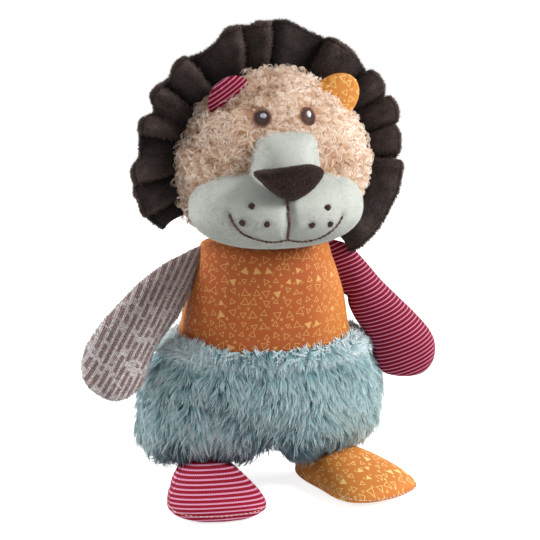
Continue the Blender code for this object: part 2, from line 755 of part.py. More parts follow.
def arm_form(side, reach, sweep, cloth):
    """The arm's skin as a function of its station, the angle round it and the distance below the cloth."""
    top = torso_edge(ARM_TOP_Z, side)
    bottom = torso_edge(ARM_TOP_Z - ARM_ROOT_DROP, side)
    middle = (top + bottom) / 2
    top.y = bottom.y = middle.y
    last = len(ARM_SHARES) - 1
    least = cloth + SEAM_GAP

    def edge(across, up, level):
        forward = sweep * (level / last) ** 2
        return middle + Vector((side * reach * across, forward, reach * up))

    def point(level, angle, inset):
        out_x, out_z, in_x, in_z, thick_share = ARM_SHARES[level]
        outer = top if level == 0 else edge(out_x, out_z, level)
        inner = bottom if level == 0 else edge(in_x, in_z, level)
        half = (outer - inner) / 2
        if half.length > 0:
            half *= max(half.length - inset, 0) / half.length
        thickness = least + (ARM_HALF_THICKNESS - least) * thick_share
        depth = 0 if level == last else thickness - inset
        lift = inset * ARM_TIP_SHARES.get(last - level, 0)
        spot = (outer + inner) / 2 + half * (math.cos(angle) * side) + Vector((0, depth * math.sin(angle), lift))
        if level == 0:
            spot.x = torso_edge(spot.z, side).x
        return spot

    return point


def make_arm(name, side, reach, sweep, colour, cloth):
    form = arm_form(side, reach, sweep, cloth)
    levels = range(len(ARM_SHARES))
    names = ((name + "_front_panel", -1), (name + "_back_panel", 1))
    pair_of_panels(names, colour, form, levels, ARM_SIDES, cloth)
    angles = turn(ARM_SIDES)
    inset = cloth + SEAM_GAP
    rows = [[form(level, angle, inset) for angle in angles] for level in levels if level > 0]
    make_solid(name + "_filling", "filling", rows)


def foot_ankle(side):
    return Vector((side * LEG_SPREAD, FOOT_ANKLE_Y + side * FOOT_STEP, 0))


def foot_form(side, splay_deg):
    """The foot's skin: angles 0 to 180 are the upper, and the rest is the sole."""
    splay = math.radians(splay_deg)
    ahead = Vector((side * math.sin(splay), -math.cos(splay), 0))
    beside = Vector((math.cos(splay), side * math.sin(splay), 0))
    ankle = foot_ankle(side)
    top = ANKLE_Z - FOOT_CLEARANCE

    def point(level, angle, inset):
        length_share, width_share, height_share = FOOT_SHARES[level]
        along = FOOT_LENGTH * (length_share - FOOT_HEEL_SHARE)
        last = len(FOOT_SHARES) - 1
        if level in (0, last):
            along += inset if level == 0 else -inset
        half_width = max(FOOT_HALF_WIDTH * width_share - inset, 0)
        if level in (0, last):
            return ankle + ahead * along + Vector((0, 0, FOOT_SEAM_Z))
        across = half_width * power(math.cos(angle), FOOT_SIDE_BEND)
        if math.sin(angle) >= 0:
            rise = max(top * height_share - inset - FOOT_SEAM_Z, 0) * power(math.sin(angle), FOOT_CROWN_BEND)
        else:
            flat = min(FOOT_FLAT_SHARE * abs(math.sin(angle)), 1)
            rise = -(FOOT_SEAM_Z - inset) * flat
        return ankle + ahead * along + beside * across + Vector((0, 0, FOOT_SEAM_Z + rise))

    return point


def make_foot(name, side, splay_deg, colour):
    form = foot_form(side, splay_deg)
    levels = range(len(FOOT_SHARES))
    for part, span, lift in (("upper_panel", (0.0, 180.0), 1), ("sole_panel", (180.0, 360.0), 0)):
        angles = turn(FOOT_SIDES // 2, *span)
        offset = Vector((0, 0, lift * SEAM_GAP))
        outer = [[form(level, angle, 0) for angle in angles] for level in levels]
        inner = [[form(level, angle, COTTON) for angle in angles] for level in levels]
        make_shell(f"{name}_{part}", colour, shifted(outer, offset), shifted(inner, offset), False)
    angles = turn(FOOT_SIDES)
    inset = COTTON + SEAM_GAP
    rows = [[form(level, angle, inset) for angle in angles] for level in levels]
    make_solid(name + "_filling", "filling", rows)


def tail_root():
    """Where the tail leaves the trousers' back."""
    level = 0
    while WAIST_Z - SEAM_GAP - TROUSER_DROP * TROUSER_SHARES[level + 1][0] > TAIL_ROOT_Z:
        level += 1
    upper = trouser_point(level, math.pi / 2, 0)
    lower = trouser_point(level + 1, math.pi / 2, 0)
    part = (upper.z - TAIL_ROOT_Z) / (upper.z - lower.z)
    back = upper.lerp(lower, part)
    return Vector((back.x, back.y + SEAM_GAP + TAIL_SET_BACK, TAIL_ROOT_Z))


def tube_rows(points, radii, sides):
    rows = []
    for index, point in enumerate(points):
        before = points[max(index - 1, 0)]
        after = points[min(index + 1, len(points) - 1)]
        along = (after - before).normalized()
        if index == 0:
            along = Vector((0, 1, 0))
        side = Vector((1, 0, 0))
        up = side.cross(along)
        rows.append([point + side * (radii[index] * math.cos(angle)) + up * (radii[index] * math.sin(angle))
                     for angle in turn(sides)])
    return rows


def make_tail():
    root = tail_root()
    points = [root + Vector((0, TAIL_LENGTH * back, TAIL_LENGTH * up)) for back, up, _ in TAIL_PATH_SHARES]
    tube_radii = [TAIL_RADIUS * share for _, _, share in TAIL_PATH_SHARES]
    make_solid("tail_tube", "teal", tube_rows(points, tube_radii, TAIL_SIDES))
    along = (points[-1] - points[-2]).normalized()
    start = points[-1] + along * SEAM_GAP
    spots = [start + along * (TUFT_LENGTH * share) for share, _ in TUFT_SHARES]
    radii = [TUFT_RADIUS * width for _, width in TUFT_SHARES]
    side = Vector((1, 0, 0))
    up = side.cross(along)
    rows = [[spot + side * (radius * math.cos(angle)) + up * (radius * math.sin(angle))
             for angle in turn(TAIL_SIDES)] for spot, radius in zip(spots, radii)]
    make_solid("tail_tuft", "brown", rows)


def main():
    clear_scene()
    make_body()
    make_neck()
    head_cutter = make_head()
    make_muzzle(head_cutter)
    make_eyes()
    make_mouth()
    make_mane()
    make_ears(head_cutter)
    make_arm("arm_right", -1, ARM_RIGHT_REACH, ARM_RIGHT_SWEEP, "knit", KNIT)
    make_arm("arm_left", 1, ARM_LEFT_REACH, ARM_LEFT_SWEEP, "stripe", COTTON)
    make_foot("foot_right", -1, FOOT_SPLAY_RIGHT_DEG, "stripe")
    make_foot("foot_left", 1, FOOT_SPLAY_LEFT_DEG, "orange")
    make_tail()


main()
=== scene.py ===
"""Looks of the plush lion: cloth covers, pile, embroidery, camera and light.

Metres, +Z up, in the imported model's own frame. The lion faces -Y, and its left side is +X.
"""

import math

import bmesh
import bpy
import numpy as np
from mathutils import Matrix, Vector


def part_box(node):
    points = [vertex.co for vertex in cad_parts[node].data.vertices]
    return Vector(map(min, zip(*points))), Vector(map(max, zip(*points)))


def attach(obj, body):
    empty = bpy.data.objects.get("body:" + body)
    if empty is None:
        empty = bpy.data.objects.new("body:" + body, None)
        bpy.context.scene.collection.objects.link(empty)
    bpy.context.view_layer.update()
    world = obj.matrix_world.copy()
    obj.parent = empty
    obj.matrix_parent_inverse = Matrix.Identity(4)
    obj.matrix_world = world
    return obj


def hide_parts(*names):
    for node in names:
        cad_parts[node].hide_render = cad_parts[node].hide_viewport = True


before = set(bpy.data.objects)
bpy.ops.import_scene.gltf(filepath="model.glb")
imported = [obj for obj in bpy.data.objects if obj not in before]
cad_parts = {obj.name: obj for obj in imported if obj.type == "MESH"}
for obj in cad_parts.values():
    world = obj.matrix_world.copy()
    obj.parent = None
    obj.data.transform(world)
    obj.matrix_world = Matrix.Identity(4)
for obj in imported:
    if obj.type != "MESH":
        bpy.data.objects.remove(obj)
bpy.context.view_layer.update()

# Camera and studio
AZIMUTH_DEG = -13.0
ELEVATION_DEG = 12.0
CAMERA_DISTANCE = 1.2
CAMERA_TARGET = (0.0046, 0.0, 0.1316)
CAMERA_LENS = 133.8
FLOOR_HALF = 8.0
FLOOR_GREY = 0.80
AMBIENT = 0.25
LAMP_TARGET = (0, 0, 0.13)
# name, place, size and power in watts
LAMPS = (
    ("key", (0.98, -0.55, 0.82), 0.45, 19.5), ("fill", (-0.70, -0.95, 0.55), 0.80, 1.9),
    ("rim_left", (-0.80, 0.35, 0.50), 0.50, 9.0), ("rim_right", (0.90, 0.35, 0.45), 0.50, 6.5),
)

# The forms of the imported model, which the covers follow
WAIST_Z = 0.0920
TORSO_HEIGHT = 0.0600
TORSO_HALF = (0.0525, 0.0430)
# the side seams draw the cloth in by this share, over a band that this power keeps narrow
SIDE_SEAM_PINCH = 0.022
SIDE_SEAM_POWER = 60
# height share, width share, depth share, and how much narrower the lion's left side is
TORSO_SHARES = (
    (-0.20, 0.88, 0.90, 0.0), (0.00, 0.985, 0.99, 0.015), (0.20, 0.975, 0.975, 0.035),
    (0.43, 0.930, 0.93, 0.055), (0.66, 0.875, 0.86, 0.085), (0.84, 0.835, 0.78, 0.13),
    (0.95, 0.815, 0.71, 0.15), (1.00, 0.755, 0.62, 0.14), (1.02, 0.50, 0.42, 0.08),
    (1.02, 0.0, 0.0, 0.0),
)
CROTCH_Z = 0.0297
TROUSER_HALF = (0.0760, 0.0500)
TROUSER_MIDDLE = (0.0, 0.003, 0.060)
LEG_DROP = 0.0100
LEG_START_Z = 0.0640
ANKLE_Z = 0.0235
# drop share, width share, depth share
TROUSER_SHARES = (
    (0.00, 0.715, 0.87), (0.13, 0.835, 0.95), (0.30, 0.935, 0.99), (0.48, 0.99, 1.00),
    (0.64, 1.00, 0.98), (0.80, 0.965, 0.92), (0.91, 0.875, 0.82), (0.97, 0.70, 0.68),
    (1.00, 0.40, 0.42), (1.00, 0.00, 0.00),
)
HEAD_CENTRE = np.array((0.0025, -0.0110, 0.2040))
HEAD_HALF = (0.0590, 0.0517)
FACE_DEPTH = 0.0470
NAPE_DEPTH = 0.0450
HEAD_ROUNDNESS = 0.92
JOWL_SHARE = 0.07
# degrees from the lion's left, and how full the head is there
HEAD_FULLNESS = (
    (0, 0.99), (8, 0.975), (16, 0.96), (30, 0.955), (50, 0.965), (70, 0.99), (90, 1.0), (105, 0.98),
    (120, 0.955), (137, 0.95), (150, 0.962), (165, 0.95), (180, 0.96), (190, 0.985), (197, 1.025),
    (206, 1.055), (214, 1.09), (220, 1.105), (228, 1.07), (245, 1.0), (350, 1.0), (360, 0.99),
)
MUZZLE_CENTRE = np.array((-0.0012, -0.0390, 0.1779))
MUZZLE_HALF = (0.0498, 0.0230)
MUZZLE_DEPTH = 0.0350
# how square the muzzle's rounded block is, seen from the front and from above
FRONT_SQUARENESS = 2.3
TOP_SQUARENESS = 2.2
BRIDGE_Y = -0.0450
BRIDGE_BASE_Z = 0.1830
BRIDGE_HEIGHT = 0.0390
BRIDGE_HALF = (0.0208, 0.0300)
BRIDGE_LEAN = 0.0026
BRIDGE_SHARES = (
    (0.00, 1.00, 0.78), (0.24, 1.00, 0.92), (0.46, 0.98, 0.95), (0.66, 0.93, 0.90), (0.82, 0.86, 0.80),
    (0.93, 0.78, 0.64), (0.99, 0.62, 0.40), (1.01, 0.32, 0.20), (1.01, 0.0, 0.0),
)
NOSE_CENTRE = np.array((0.0, -0.0640, 0.2020))
# round its edge, across and up from the centre in millimetres
NOSE_OUTLINE = (
    (-19.4, -0.4), (-13.6, 0.9), (-7.6, 2.0), (1.7, 3.3), (9.6, 3.5), (14.5, 2.3), (17.7, 0.3),
    (15.9, -3.7), (12.1, -8.3), (6.6, -12.3), (0.5, -14.9), (-3.9, -14.0), (-10.6, -9.8), (-15.5, -4.9),
)
NOSE_DEPTH = 0.0170
EYE_RADIUS = 0.0051
EYES_X = (-0.0123, 0.0147)
EYE_Z = 0.2305
MANE_CENTRE = np.array((0.0023, -0.0110, 0.2000))
MANE_SEAM_DEPTH = 0.006
ARM_ROOTS = {-1: ((-0.03426, 0.1495), (-0.04775, 0.1170)), 1: ((0.04023, 0.1495), (0.05177, 0.1170))}
ARM_ROOT_Y = -0.00649
# how far inside that the covers start, at the top and at the bottom of the root
ARM_ROOT_INSET = {-1: ((0.0, 0.0), (0.0, 0.0)), 1: ((-0.0065, 0.0), (-0.0050, 0.0))}
ARM_REACH = {-1: 0.0685, 1: 0.0632}
ARM_SWEEP = {-1: -0.0160, 1: -0.0060}
ARM_HALF_THICKNESS = 0.0140
# outer edge across and up, inner edge across and up, thickness
ARM_SHARES = (
    (-0.083, 0.250, 0.083, -0.250, 0.10), (0.050, 0.135, 0.125, -0.285, 0.42),
    (0.240, 0.010, 0.165, -0.355, 0.64), (0.430, -0.140, 0.245, -0.455, 0.82),
    (0.590, -0.285, 0.330, -0.550, 0.94), (0.780, -0.455, 0.405, -0.680, 1.00),
    (0.940, -0.630, 0.450, -0.810, 1.00), (1.000, -0.790, 0.500, -0.925, 0.92),
    (0.975, -0.940, 0.570, -1.010, 0.74), (0.880, -1.045, 0.660, -1.060, 0.46),
    (0.770, -1.078, 0.770, -1.078, 0.00),
)
# how much fuller each arm is stuffed than that, row by row, in the same order
ARM_FULLER_SHARES = {
    -1: ((0.0, 0.035, 0.0, 0.0), (0.025, 0.060, 0.0, 0.0), (0.055, 0.080, 0.0, 0.0), (0.070, 0.085, 0.0, 0.0),
         (0.070, 0.080, 0.0, 0.0), (0.065, 0.065, 0.0, 0.0), (0.045, 0.045, 0.0, 0.0),
         (0.030, 0.030, 0.0, 0.015), (0.020, 0.045, 0.0, 0.040), (0.0, 0.052, 0.0, 0.045),
         (0.0, 0.050, 0.0, 0.050)),
    1: ((0.0, 0.035, 0.0, 0.0), (0.020, 0.080, -0.050, -0.010), (0.010, 0.030, -0.070, -0.035),
        (-0.020, -0.010, -0.090, -0.060), (-0.025, -0.020, -0.100, -0.075), (-0.040, -0.025, -0.105, -0.080),
        (-0.055, -0.020, -0.115, -0.080), (-0.060, 0.0, -0.125, -0.070), (-0.050, 0.0, -0.130, -0.045),
        (-0.040, 0.0, -0.110, -0.022), (-0.060, -0.010, -0.060, -0.010)),
}
FOOT_ANKLES = {-1: (-0.038, -0.005, 0.0), 1: (0.038, 0.002, 0.0)}
FOOT_SPLAY_DEG = {-1: 1.0, 1: 28.0}
FOOT_LENGTH = 0.0852
FOOT_HEEL_SHARE = 0.195
FOOT_HALF_WIDTH = 0.0285
FOOT_SEAM_Z = 0.0050
FOOT_GROOVE = 0.0007
FOOT_TOP_Z = 0.0229
FOOT_SHARES = (
    (0.00, 0.00, 0.25), (0.03, 0.30, 0.60), (0.10, 0.52, 0.88), (0.25, 0.72, 1.00), (0.45, 0.87, 0.98),
    (0.66, 1.00, 0.82), (0.80, 0.99, 0.68), (0.90, 0.88, 0.56), (0.97, 0.60, 0.44), (1.00, 0.00, 0.25),
)
FOOT_BEND = {-1: 0.0, 1: -0.0040}
FOOT_TOE_LIFT = {-1: 0.35, 1: 0.80}
TAIL_ROOT = np.array((0.00048, 0.05462, 0.0660))

# Patterns of the cloths, as distances on the flat cloth
PRINT_CELL = 0.0065
TWILL_PITCH = 0.0011
STRIPE_PITCH = 0.00245
RIB_PITCH = 0.0010
KNIT_WALE = 0.0037
KNIT_STITCH = 0.0013
KNIT_DASH = 0.0058
BACK_PRINT_SHIFT = (0.31, 0.013)
BACK_KNIT_SHIFT = 0.02

# How far below the pile's tips the covers lie
TROUSER_PILE = 0.0062
WAIST_PILE = 0.0022
HEAD_PILE = 0.0048

# Pile and thread
MOST_TRIANGLES = 180000
LOWEST_FIBRE_Z = 0.0150
FUR_RADII = (0.00024, 0.00038)
CURL_RADII = (0.00018, 0.00029)
FUR_SPREAD = 0.00075
CURL_SPREAD = 0.00058
# the share of its thickness that a stitch has along its length
STITCH_PROFILE = np.array((0.55, 0.9, 1.0, 1.0, 1.0, 0.9, 0.0))
STITCH_LENGTH = 0.0027
EDGE_STITCH = 0.0020
EDGE_STITCH_PITCH = 0.0029
UP = np.array((0, 0, 1.0))
DOWN = np.array((0, 0, -1.0))

# Small helpers


def srgb(text):
    """A scene-linear colour from its six-figure screen colour."""
    parts = [int(text[place:place + 2], 16) / 255 for place in (0, 2, 4)]
    linear = [part / 12.92 if part <= 0.04045 else ((part + 0.055) / 1.055) ** 2.4 for part in parts]
    return (*linear, 1)


def smooth(value):
    share = np.clip(value, 0, 1)
    return share * share * (3 - 2 * share)


def power(value, exponent):
    """A power that keeps its value's sign."""
    return np.sign(value) * np.abs(value) ** exponent


def unit(vectors):
    return vectors / np.maximum(np.linalg.norm(vectors, axis=-1, keepdims=True), 1e-12)


def stack(x, y, z):
    return np.stack(np.broadcast_arrays(x, y, z), axis=-1).astype(float)


def full_turn(count):
    """Angles once round, the last one the same as the first."""
    return np.radians(np.linspace(0, 360, count))


def flattened(vectors, out):
    """The part of each vector that lies in the cloth, whose outward direction is given."""
    return vectors - out * (vectors * out).sum(axis=1, keepdims=True)


def run_lengths(line):
    """The distance along a line of points, at each of them."""
    return np.concatenate([[0], np.cumsum(np.linalg.norm(np.diff(line, axis=0), axis=1))])


def points_at(places, run, line):
    """The points at these distances along a line."""
    return np.stack([np.interp(places, run, line[:, axis]) for axis in range(3)], axis=1)


def resample(rows, count):
    """A smooth run through a table's rows, as this many rows."""
    rows = np.asarray(rows, float)
    last = len(rows) - 1
    place = np.linspace(0, last, count)
    index = np.minimum(place.astype(int), last - 1)
    share = (place - index)[:, None]
    run = np.vstack([2 * rows[0] - rows[1], rows, 2 * rows[-1] - rows[-2]])
    before, near, far, after = (run[index + step] for step in range(4))
    curve = 2 * before - 5 * near + 4 * far - after + share * (3 * (near - far) + after - before)
    return near + 0.5 * share * (far - before + share * curve)


def mottle(points, size, seed):
    """Slow even variation from -1 to 1 over places this far apart."""
    turns = np.random.default_rng(seed)
    total = 0
    for _ in range(5):
        direction = unit(turns.normal(size=3))
        reach = size * turns.uniform(0.7, 1.5)
        total = total + np.sin(points @ direction * (math.tau / reach) + turns.uniform(0, math.tau))
    return total / 2.6


def cloth_uv(grid):
    """Where each grid point lies on its flat cloth, in metres from the panel's middle column."""
    across = np.zeros(grid.shape[:2])
    across[:, 1:] = np.cumsum(np.linalg.norm(np.diff(grid, axis=1), axis=2), axis=1)
    across -= across[:, grid.shape[1] // 2][:, None]
    along = run_lengths(grid[:, grid.shape[1] // 2])
    return np.stack([across, np.repeat(along[:, None], grid.shape[1], axis=1)], axis=-1)


def mesh_from(name, points, triangles, uv, uv_name):
    mesh = bpy.data.meshes.new(name)
    mesh.vertices.add(len(points))
    mesh.vertices.foreach_set("co", points.astype(np.float32).ravel())
    mesh.loops.add(len(triangles) * 3)
    mesh.loops.foreach_set("vertex_index", triangles.astype(np.int32).ravel())
    mesh.polygons.add(len(triangles))
    mesh.polygons.foreach_set("loop_start", np.arange(0, len(triangles) * 3, 3, dtype=np.int32))
    mesh.update(calc_edges=True)
    mesh.polygons.foreach_set("use_smooth", np.full(len(triangles), True))
    layer = mesh.uv_layers.new(name=uv_name)
    layer.data.foreach_set("uv", uv[triangles.ravel()].astype(np.float32).ravel())
    return mesh


def grids_mesh(name, grids):
    """One closed mesh from grids of points, each with its cloth places, whose shared edges are welded."""
    points, triangles, places, start = [], [], [], 0
    for grid, uv in grids:
        rows, columns = grid.shape[:2]
        index = start + np.arange(rows * columns).reshape(rows, columns)
        near, after = index[:-1, :-1].ravel(), index[:-1, 1:].ravel()
        far, across = index[1:, :-1].ravel(), index[1:, 1:].ravel()
        triangles += [np.stack([near, after, across], 1), np.stack([near, across, far], 1)]
        points.append(grid.reshape(-1, 3))
        places.append(uv.reshape(-1, 2))
        start += rows * columns
    mesh = mesh_from(name, np.concatenate(points), np.concatenate(triangles), np.concatenate(places), "cloth")
    work = bmesh.new()
    work.from_mesh(mesh)
    bmesh.ops.remove_doubles(work, verts=work.verts, dist=0.00002)
    bmesh.ops.recalc_face_normals(work, faces=work.faces)
    if work.calc_volume(signed=True) < 0:
        bmesh.ops.reverse_faces(work, faces=work.faces)
    work.to_mesh(mesh)
    work.free()
    return mesh


def put(name, data):
    thing = bpy.data.objects.new(name, data)
    bpy.context.scene.collection.objects.link(thing)
    return thing


def add_piece(name, mesh, material, body, slot, stands_for=(), fill=None):
    piece = put(name, mesh)
    mesh.materials.append(material)
    if stands_for:
        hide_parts(*stands_for)
    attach(piece, body)
    return piece


def add_cover(name, grids, *settings):
    """A cover of grids, each with its cloth places or else laid out by its own lengths."""
    pairs = [grid if isinstance(grid, tuple) else (grid, cloth_uv(grid)) for grid in grids]
    return add_piece(name, grids_mesh(name, pairs), *settings)


def scatter(grids, count, seed, weight=None):
    """Seeded places spread evenly by area over grids of points, with the outward direction at each."""
    rng = np.random.default_rng(seed)
    corners, normals = [], []
    for grid, centre in grids:
        facing = unit(np.cross(np.gradient(grid, axis=1), np.gradient(grid, axis=0)))
        outward = grid - centre
        facing = np.where((facing * outward).sum(axis=-1, keepdims=True) < 0, -facing, facing)
        weak = np.linalg.norm(facing, axis=-1, keepdims=True) < 0.5
        facing = np.where(weak, unit(outward), facing)
        for store, field in ((corners, grid), (normals, facing)):
            cells = np.stack([field[:-1, :-1], field[:-1, 1:], field[1:, :-1], field[1:, 1:]], axis=2)
            store.append(cells.reshape(-1, 4, 3))
    corners, normals = np.concatenate(corners), np.concatenate(normals)
    area = np.linalg.norm(np.cross(corners[:, 1] - corners[:, 0], corners[:, 2] - corners[:, 0]), axis=1)
    area += np.linalg.norm(np.cross(corners[:, 1] - corners[:, 3], corners[:, 2] - corners[:, 3]), axis=1)
    if weight is not None:
        area = area * weight(corners.mean(axis=1))
    chosen = rng.choice(len(area), size=count, p=area / area.sum())
    across, down = rng.random(count)[:, None], rng.random(count)[:, None]
    shares = ((1 - across) * (1 - down), across * (1 - down), (1 - across) * down, across * down)
    roots = sum(share * corners[chosen, place] for place, share in enumerate(shares))
    out = unit(sum(share * normals[chosen, place] for place, share in enumerate(shares)))
    return roots, out, rng


def strand_arrays(centre, radius, tint, sides, facing, softness):
    """Tapering strands as points, triangles and places on the map.

    They come as centre lines (n, k, 3), radii (n, k) and a tint each. Where the strands' cloth faces
    some way, the last array holds normals that lean to it by the softness.
    """
    count, steps = centre.shape[:2]
    along = unit(np.gradient(centre, axis=1))
    side = unit(np.cross(along, np.array((0.31, 0.53, 0.79))))
    up = np.cross(along, side)
    turned = np.arange(sides) * math.tau / sides
    ring = side[:, :-1, None] * np.cos(turned)[:, None] + up[:, :-1, None] * np.sin(turned)[:, None]
    rings = centre[:, :-1, None] + radius[:, :-1, None, None] * ring
    size = (steps - 1) * sides + 1
    points = np.concatenate([rings.reshape(count, -1, 3), centre[:, -1:]], axis=1)
    pattern = []
    for step in range(steps - 1):
        for corner in range(sides):
            near, after = step * sides + corner, step * sides + (corner + 1) % sides
            if step == steps - 2:
                pattern.append((near, after, size - 1))
            else:
                pattern += [(near, after, after + sides), (near, after + sides, near + sides)]
    triangles = np.array(pattern)[None] + (np.arange(count) * size)[:, None, None]
    height = np.append(np.repeat(np.arange(steps - 1), sides), steps - 1) / (steps - 1)
    uv = np.stack([np.repeat(tint[:, None], size, axis=1), np.repeat(height[None], count, axis=0)], axis=-1)
    normals = None
    if facing is not None:
        own = np.concatenate([ring.reshape(count, -1, 3), along[:, -1:]], axis=1)
        normals = unit(own * (1 - softness) + facing[:, None] * softness).reshape(-1, 3)
    return (points.reshape(-1, 3), triangles.reshape(-1, 3), uv.reshape(-1, 2)), normals


def add_strands(name, centre, radius, tint, material, body, slot, sides=3, stands_for=(),
                facing=None, softness=0.5, shades=True):
    """The strands as pieces of a bounded size, numbered where there are several.

    Pale thin fibres let the light through, so theirs cast no shade.
    """
    each = (centre.shape[1] - 2) * sides * 2 + sides
    parts = math.ceil(len(centre) * each / MOST_TRIANGLES)
    for number, members in enumerate(np.array_split(np.arange(len(centre)), parts), 1):
        label = name if parts == 1 else f"{name}_{number}"
        cloth_facing = None if facing is None else facing[members]
        tints = np.clip(tint[members], 0.01, 0.99)
        arrays, normals = strand_arrays(centre[members], radius[members], tints, sides,
                                        cloth_facing, softness)
        mesh = mesh_from(label, *arrays, "OFBake")
        if normals is not None:
            mesh.normals_split_custom_set_from_vertices(normals.astype(np.float32))
        piece = add_piece(label, mesh, material, body, slot, stands_for if number == 1 else ())
        piece.visible_shadow = shades
    return piece


# Nodes


class Value:
    """What comes out of a node, with plain arithmetic that adds further nodes."""

    def __init__(self, socket):
        self.socket = socket

    def maths(self, operation, *others):
        return Value(add(self.socket.id_data, "Math", (self, *others), operation=operation).outputs[0])

    def __add__(self, other):
        return self.maths("ADD", other)

    def __sub__(self, other):
        return self.maths("SUBTRACT", other)

    def __mul__(self, other):
        return self.maths("MULTIPLY", other)

    def wave(self, pitch, kind="SINE"):
        return (self * (math.tau / pitch)).maths(kind)


def plug(tree, value, socket):
    """A value, or a plain setting, into an input."""
    if isinstance(value, Value):
        tree.links.new(value.socket, socket)
    elif value is not None:
        socket.default_value = value


def add(tree, kind, values=(), **settings):
    """A node with its settings, and with its inputs' values by place or by name."""
    node = tree.nodes.new("ShaderNode" + kind)
    for key, value in settings.items():
        setattr(node, key, value)
    for place, value in values.items() if isinstance(values, dict) else enumerate(values):
        plug(tree, value, node.inputs[place])
    return node


def vector_maths(tree, operation, values, output="Vector"):
    return Value(add(tree, "VectorMath", values, operation=operation).outputs[output])


def split(tree, value, kind="SeparateXYZ"):
    return [Value(socket) for socket in add(tree, kind, [value]).outputs]


def mixed(tree, factor, first, second, mode="MIX"):
    values = {0: factor, 6: first, 7: second}
    return Value(add(tree, "Mix", values, data_type="RGBA", blend_type=mode).outputs[2])


def ramp(tree, factor, stops):
    node = add(tree, "ValToRGB", [factor])
    points = node.color_ramp.elements
    while len(points) < len(stops):
        points.new(0.5)
    for point, (place, colour) in zip(points, stops):
        point.position = place
        point.color = colour if isinstance(colour, tuple) else (colour, colour, colour, 1)
    return Value(node.outputs[0])


def noise(tree, vector, scale, detail=3.0, roughness=0.5):
    values = {"Vector": vector, "Scale": scale, "Detail": detail, "Roughness": roughness}
    return Value(add(tree, "TexNoise", values).outputs[0])


def bump(tree, height, strength, distance):
    values = {"Strength": strength, "Distance": distance, "Height": height}
    return Value(add(tree, "Bump", values).outputs[0])


def new_material(name):
    material = bpy.data.materials.new(name)
    material.use_nodes = True
    return material, material.node_tree


def set_surface(tree, colour, roughness, normal=None, sheen=0.0, sheen_tint=None, specular=0.2):
    shader = tree.nodes["Principled BSDF"]
    for name, value in (("Base Color", colour), ("Normal", normal), ("Roughness", roughness),
                        ("Specular IOR Level", specular), ("Sheen Weight", sheen), ("Sheen Roughness", 0.5),
                        ("Sheen Tint", sheen_tint)):
        plug(tree, value, shader.inputs[name])


def mapped(tree, name="cloth"):
    """The place on the flat cloth, or along a strand on the strands' own map."""
    return Value(add(tree, "UVMap", uv_map=name).outputs[0])


def body_place(tree):
    return Value(add(tree, "TexCoord").outputs["Object"])


# Materials


def pile_material(name, colours, roughness=0.85, sheen=0.15):
    """Strands: colours of root, middle and tip, and the tints that darker and lighter strands take.

    The place on the map holds the strand's tint and how far along it the point is.
    """
    root, middle, tip, dark_tint, light_tint = map(srgb, colours.split())
    material, tree = new_material(name)
    tint, along, _ = split(tree, mapped(tree, "OFBake"))
    tone = ramp(tree, tint, ((0.0, dark_tint), (0.5, (1, 1, 1, 1)), (1.0, light_tint)))
    colour = mixed(tree, 1.0, ramp(tree, along, ((0.0, root), (0.45, middle), (1.0, tip))), tone, "MULTIPLY")
    set_surface(tree, colour, roughness, None, sheen, tip)
    return material


def backing_material(name, colours, grain, relief=0.5):
    """The cloth that the pile is knitted into."""
    dark, light = map(srgb, colours.split())
    material, tree = new_material(name)
    fine = noise(tree, body_place(tree), 1 / grain, 2.0)
    shade = noise(tree, body_place(tree), 1 / (grain * 6), 4.0) * 0.5 + fine * 0.5
    colour = ramp(tree, shade, ((0.3, dark), (0.7, light)))
    set_surface(tree, colour, 0.9, bump(tree, fine, relief, 0.0006), 0.15, light)
    return material


def triangle_layer(tree, place, shift, inner, line, filled_share):
    """Printed triangles, one to a cell: an outline, or a filled one in some cells, as a 0 to 1 mask."""
    moved = vector_maths(tree, "ADD", [place, shift])
    scaled = vector_maths(tree, "SCALE", {0: moved, "Scale": 1 / PRINT_CELL})
    cells = add(tree, "TexVoronoi", {"Vector": scaled, "Scale": 1.0, "Randomness": 0.36},
                voronoi_dimensions="2D", feature="F1")
    offset = vector_maths(tree, "SUBTRACT", [scaled, Value(cells.outputs["Position"])])
    local = vector_maths(tree, "SCALE", {0: offset, "Scale": PRINT_CELL})
    kind, slant, fullness = split(tree, Value(cells.outputs["Color"]), "SeparateColor")
    angle = (kind * 4.999).maths("FLOOR") * (math.pi / 2) + (slant - 0.5) * 0.5
    turning = add(tree, "VectorRotate", {"Vector": local, "Angle": angle}, rotation_type="Z_AXIS")
    turned = Value(turning.outputs[0])
    edges = []
    for way in np.radians((-90, 30, 150)):
        facing = (math.cos(way), math.sin(way), 0)
        edges.append(vector_maths(tree, "DOT_PRODUCT", [turned, facing], "Value"))
    reach = edges[0].maths("MAXIMUM", edges[1]).maths("MAXIMUM", edges[2])
    size = (fullness * 0.5 + 0.62) * inner
    outline = (reach - size).maths("ABSOLUTE").maths("LESS_THAN", line / 2)
    solid = reach.maths("LESS_THAN", size) * slant.maths("LESS_THAN", filled_share)
    return outline.maths("MAXIMUM", solid)


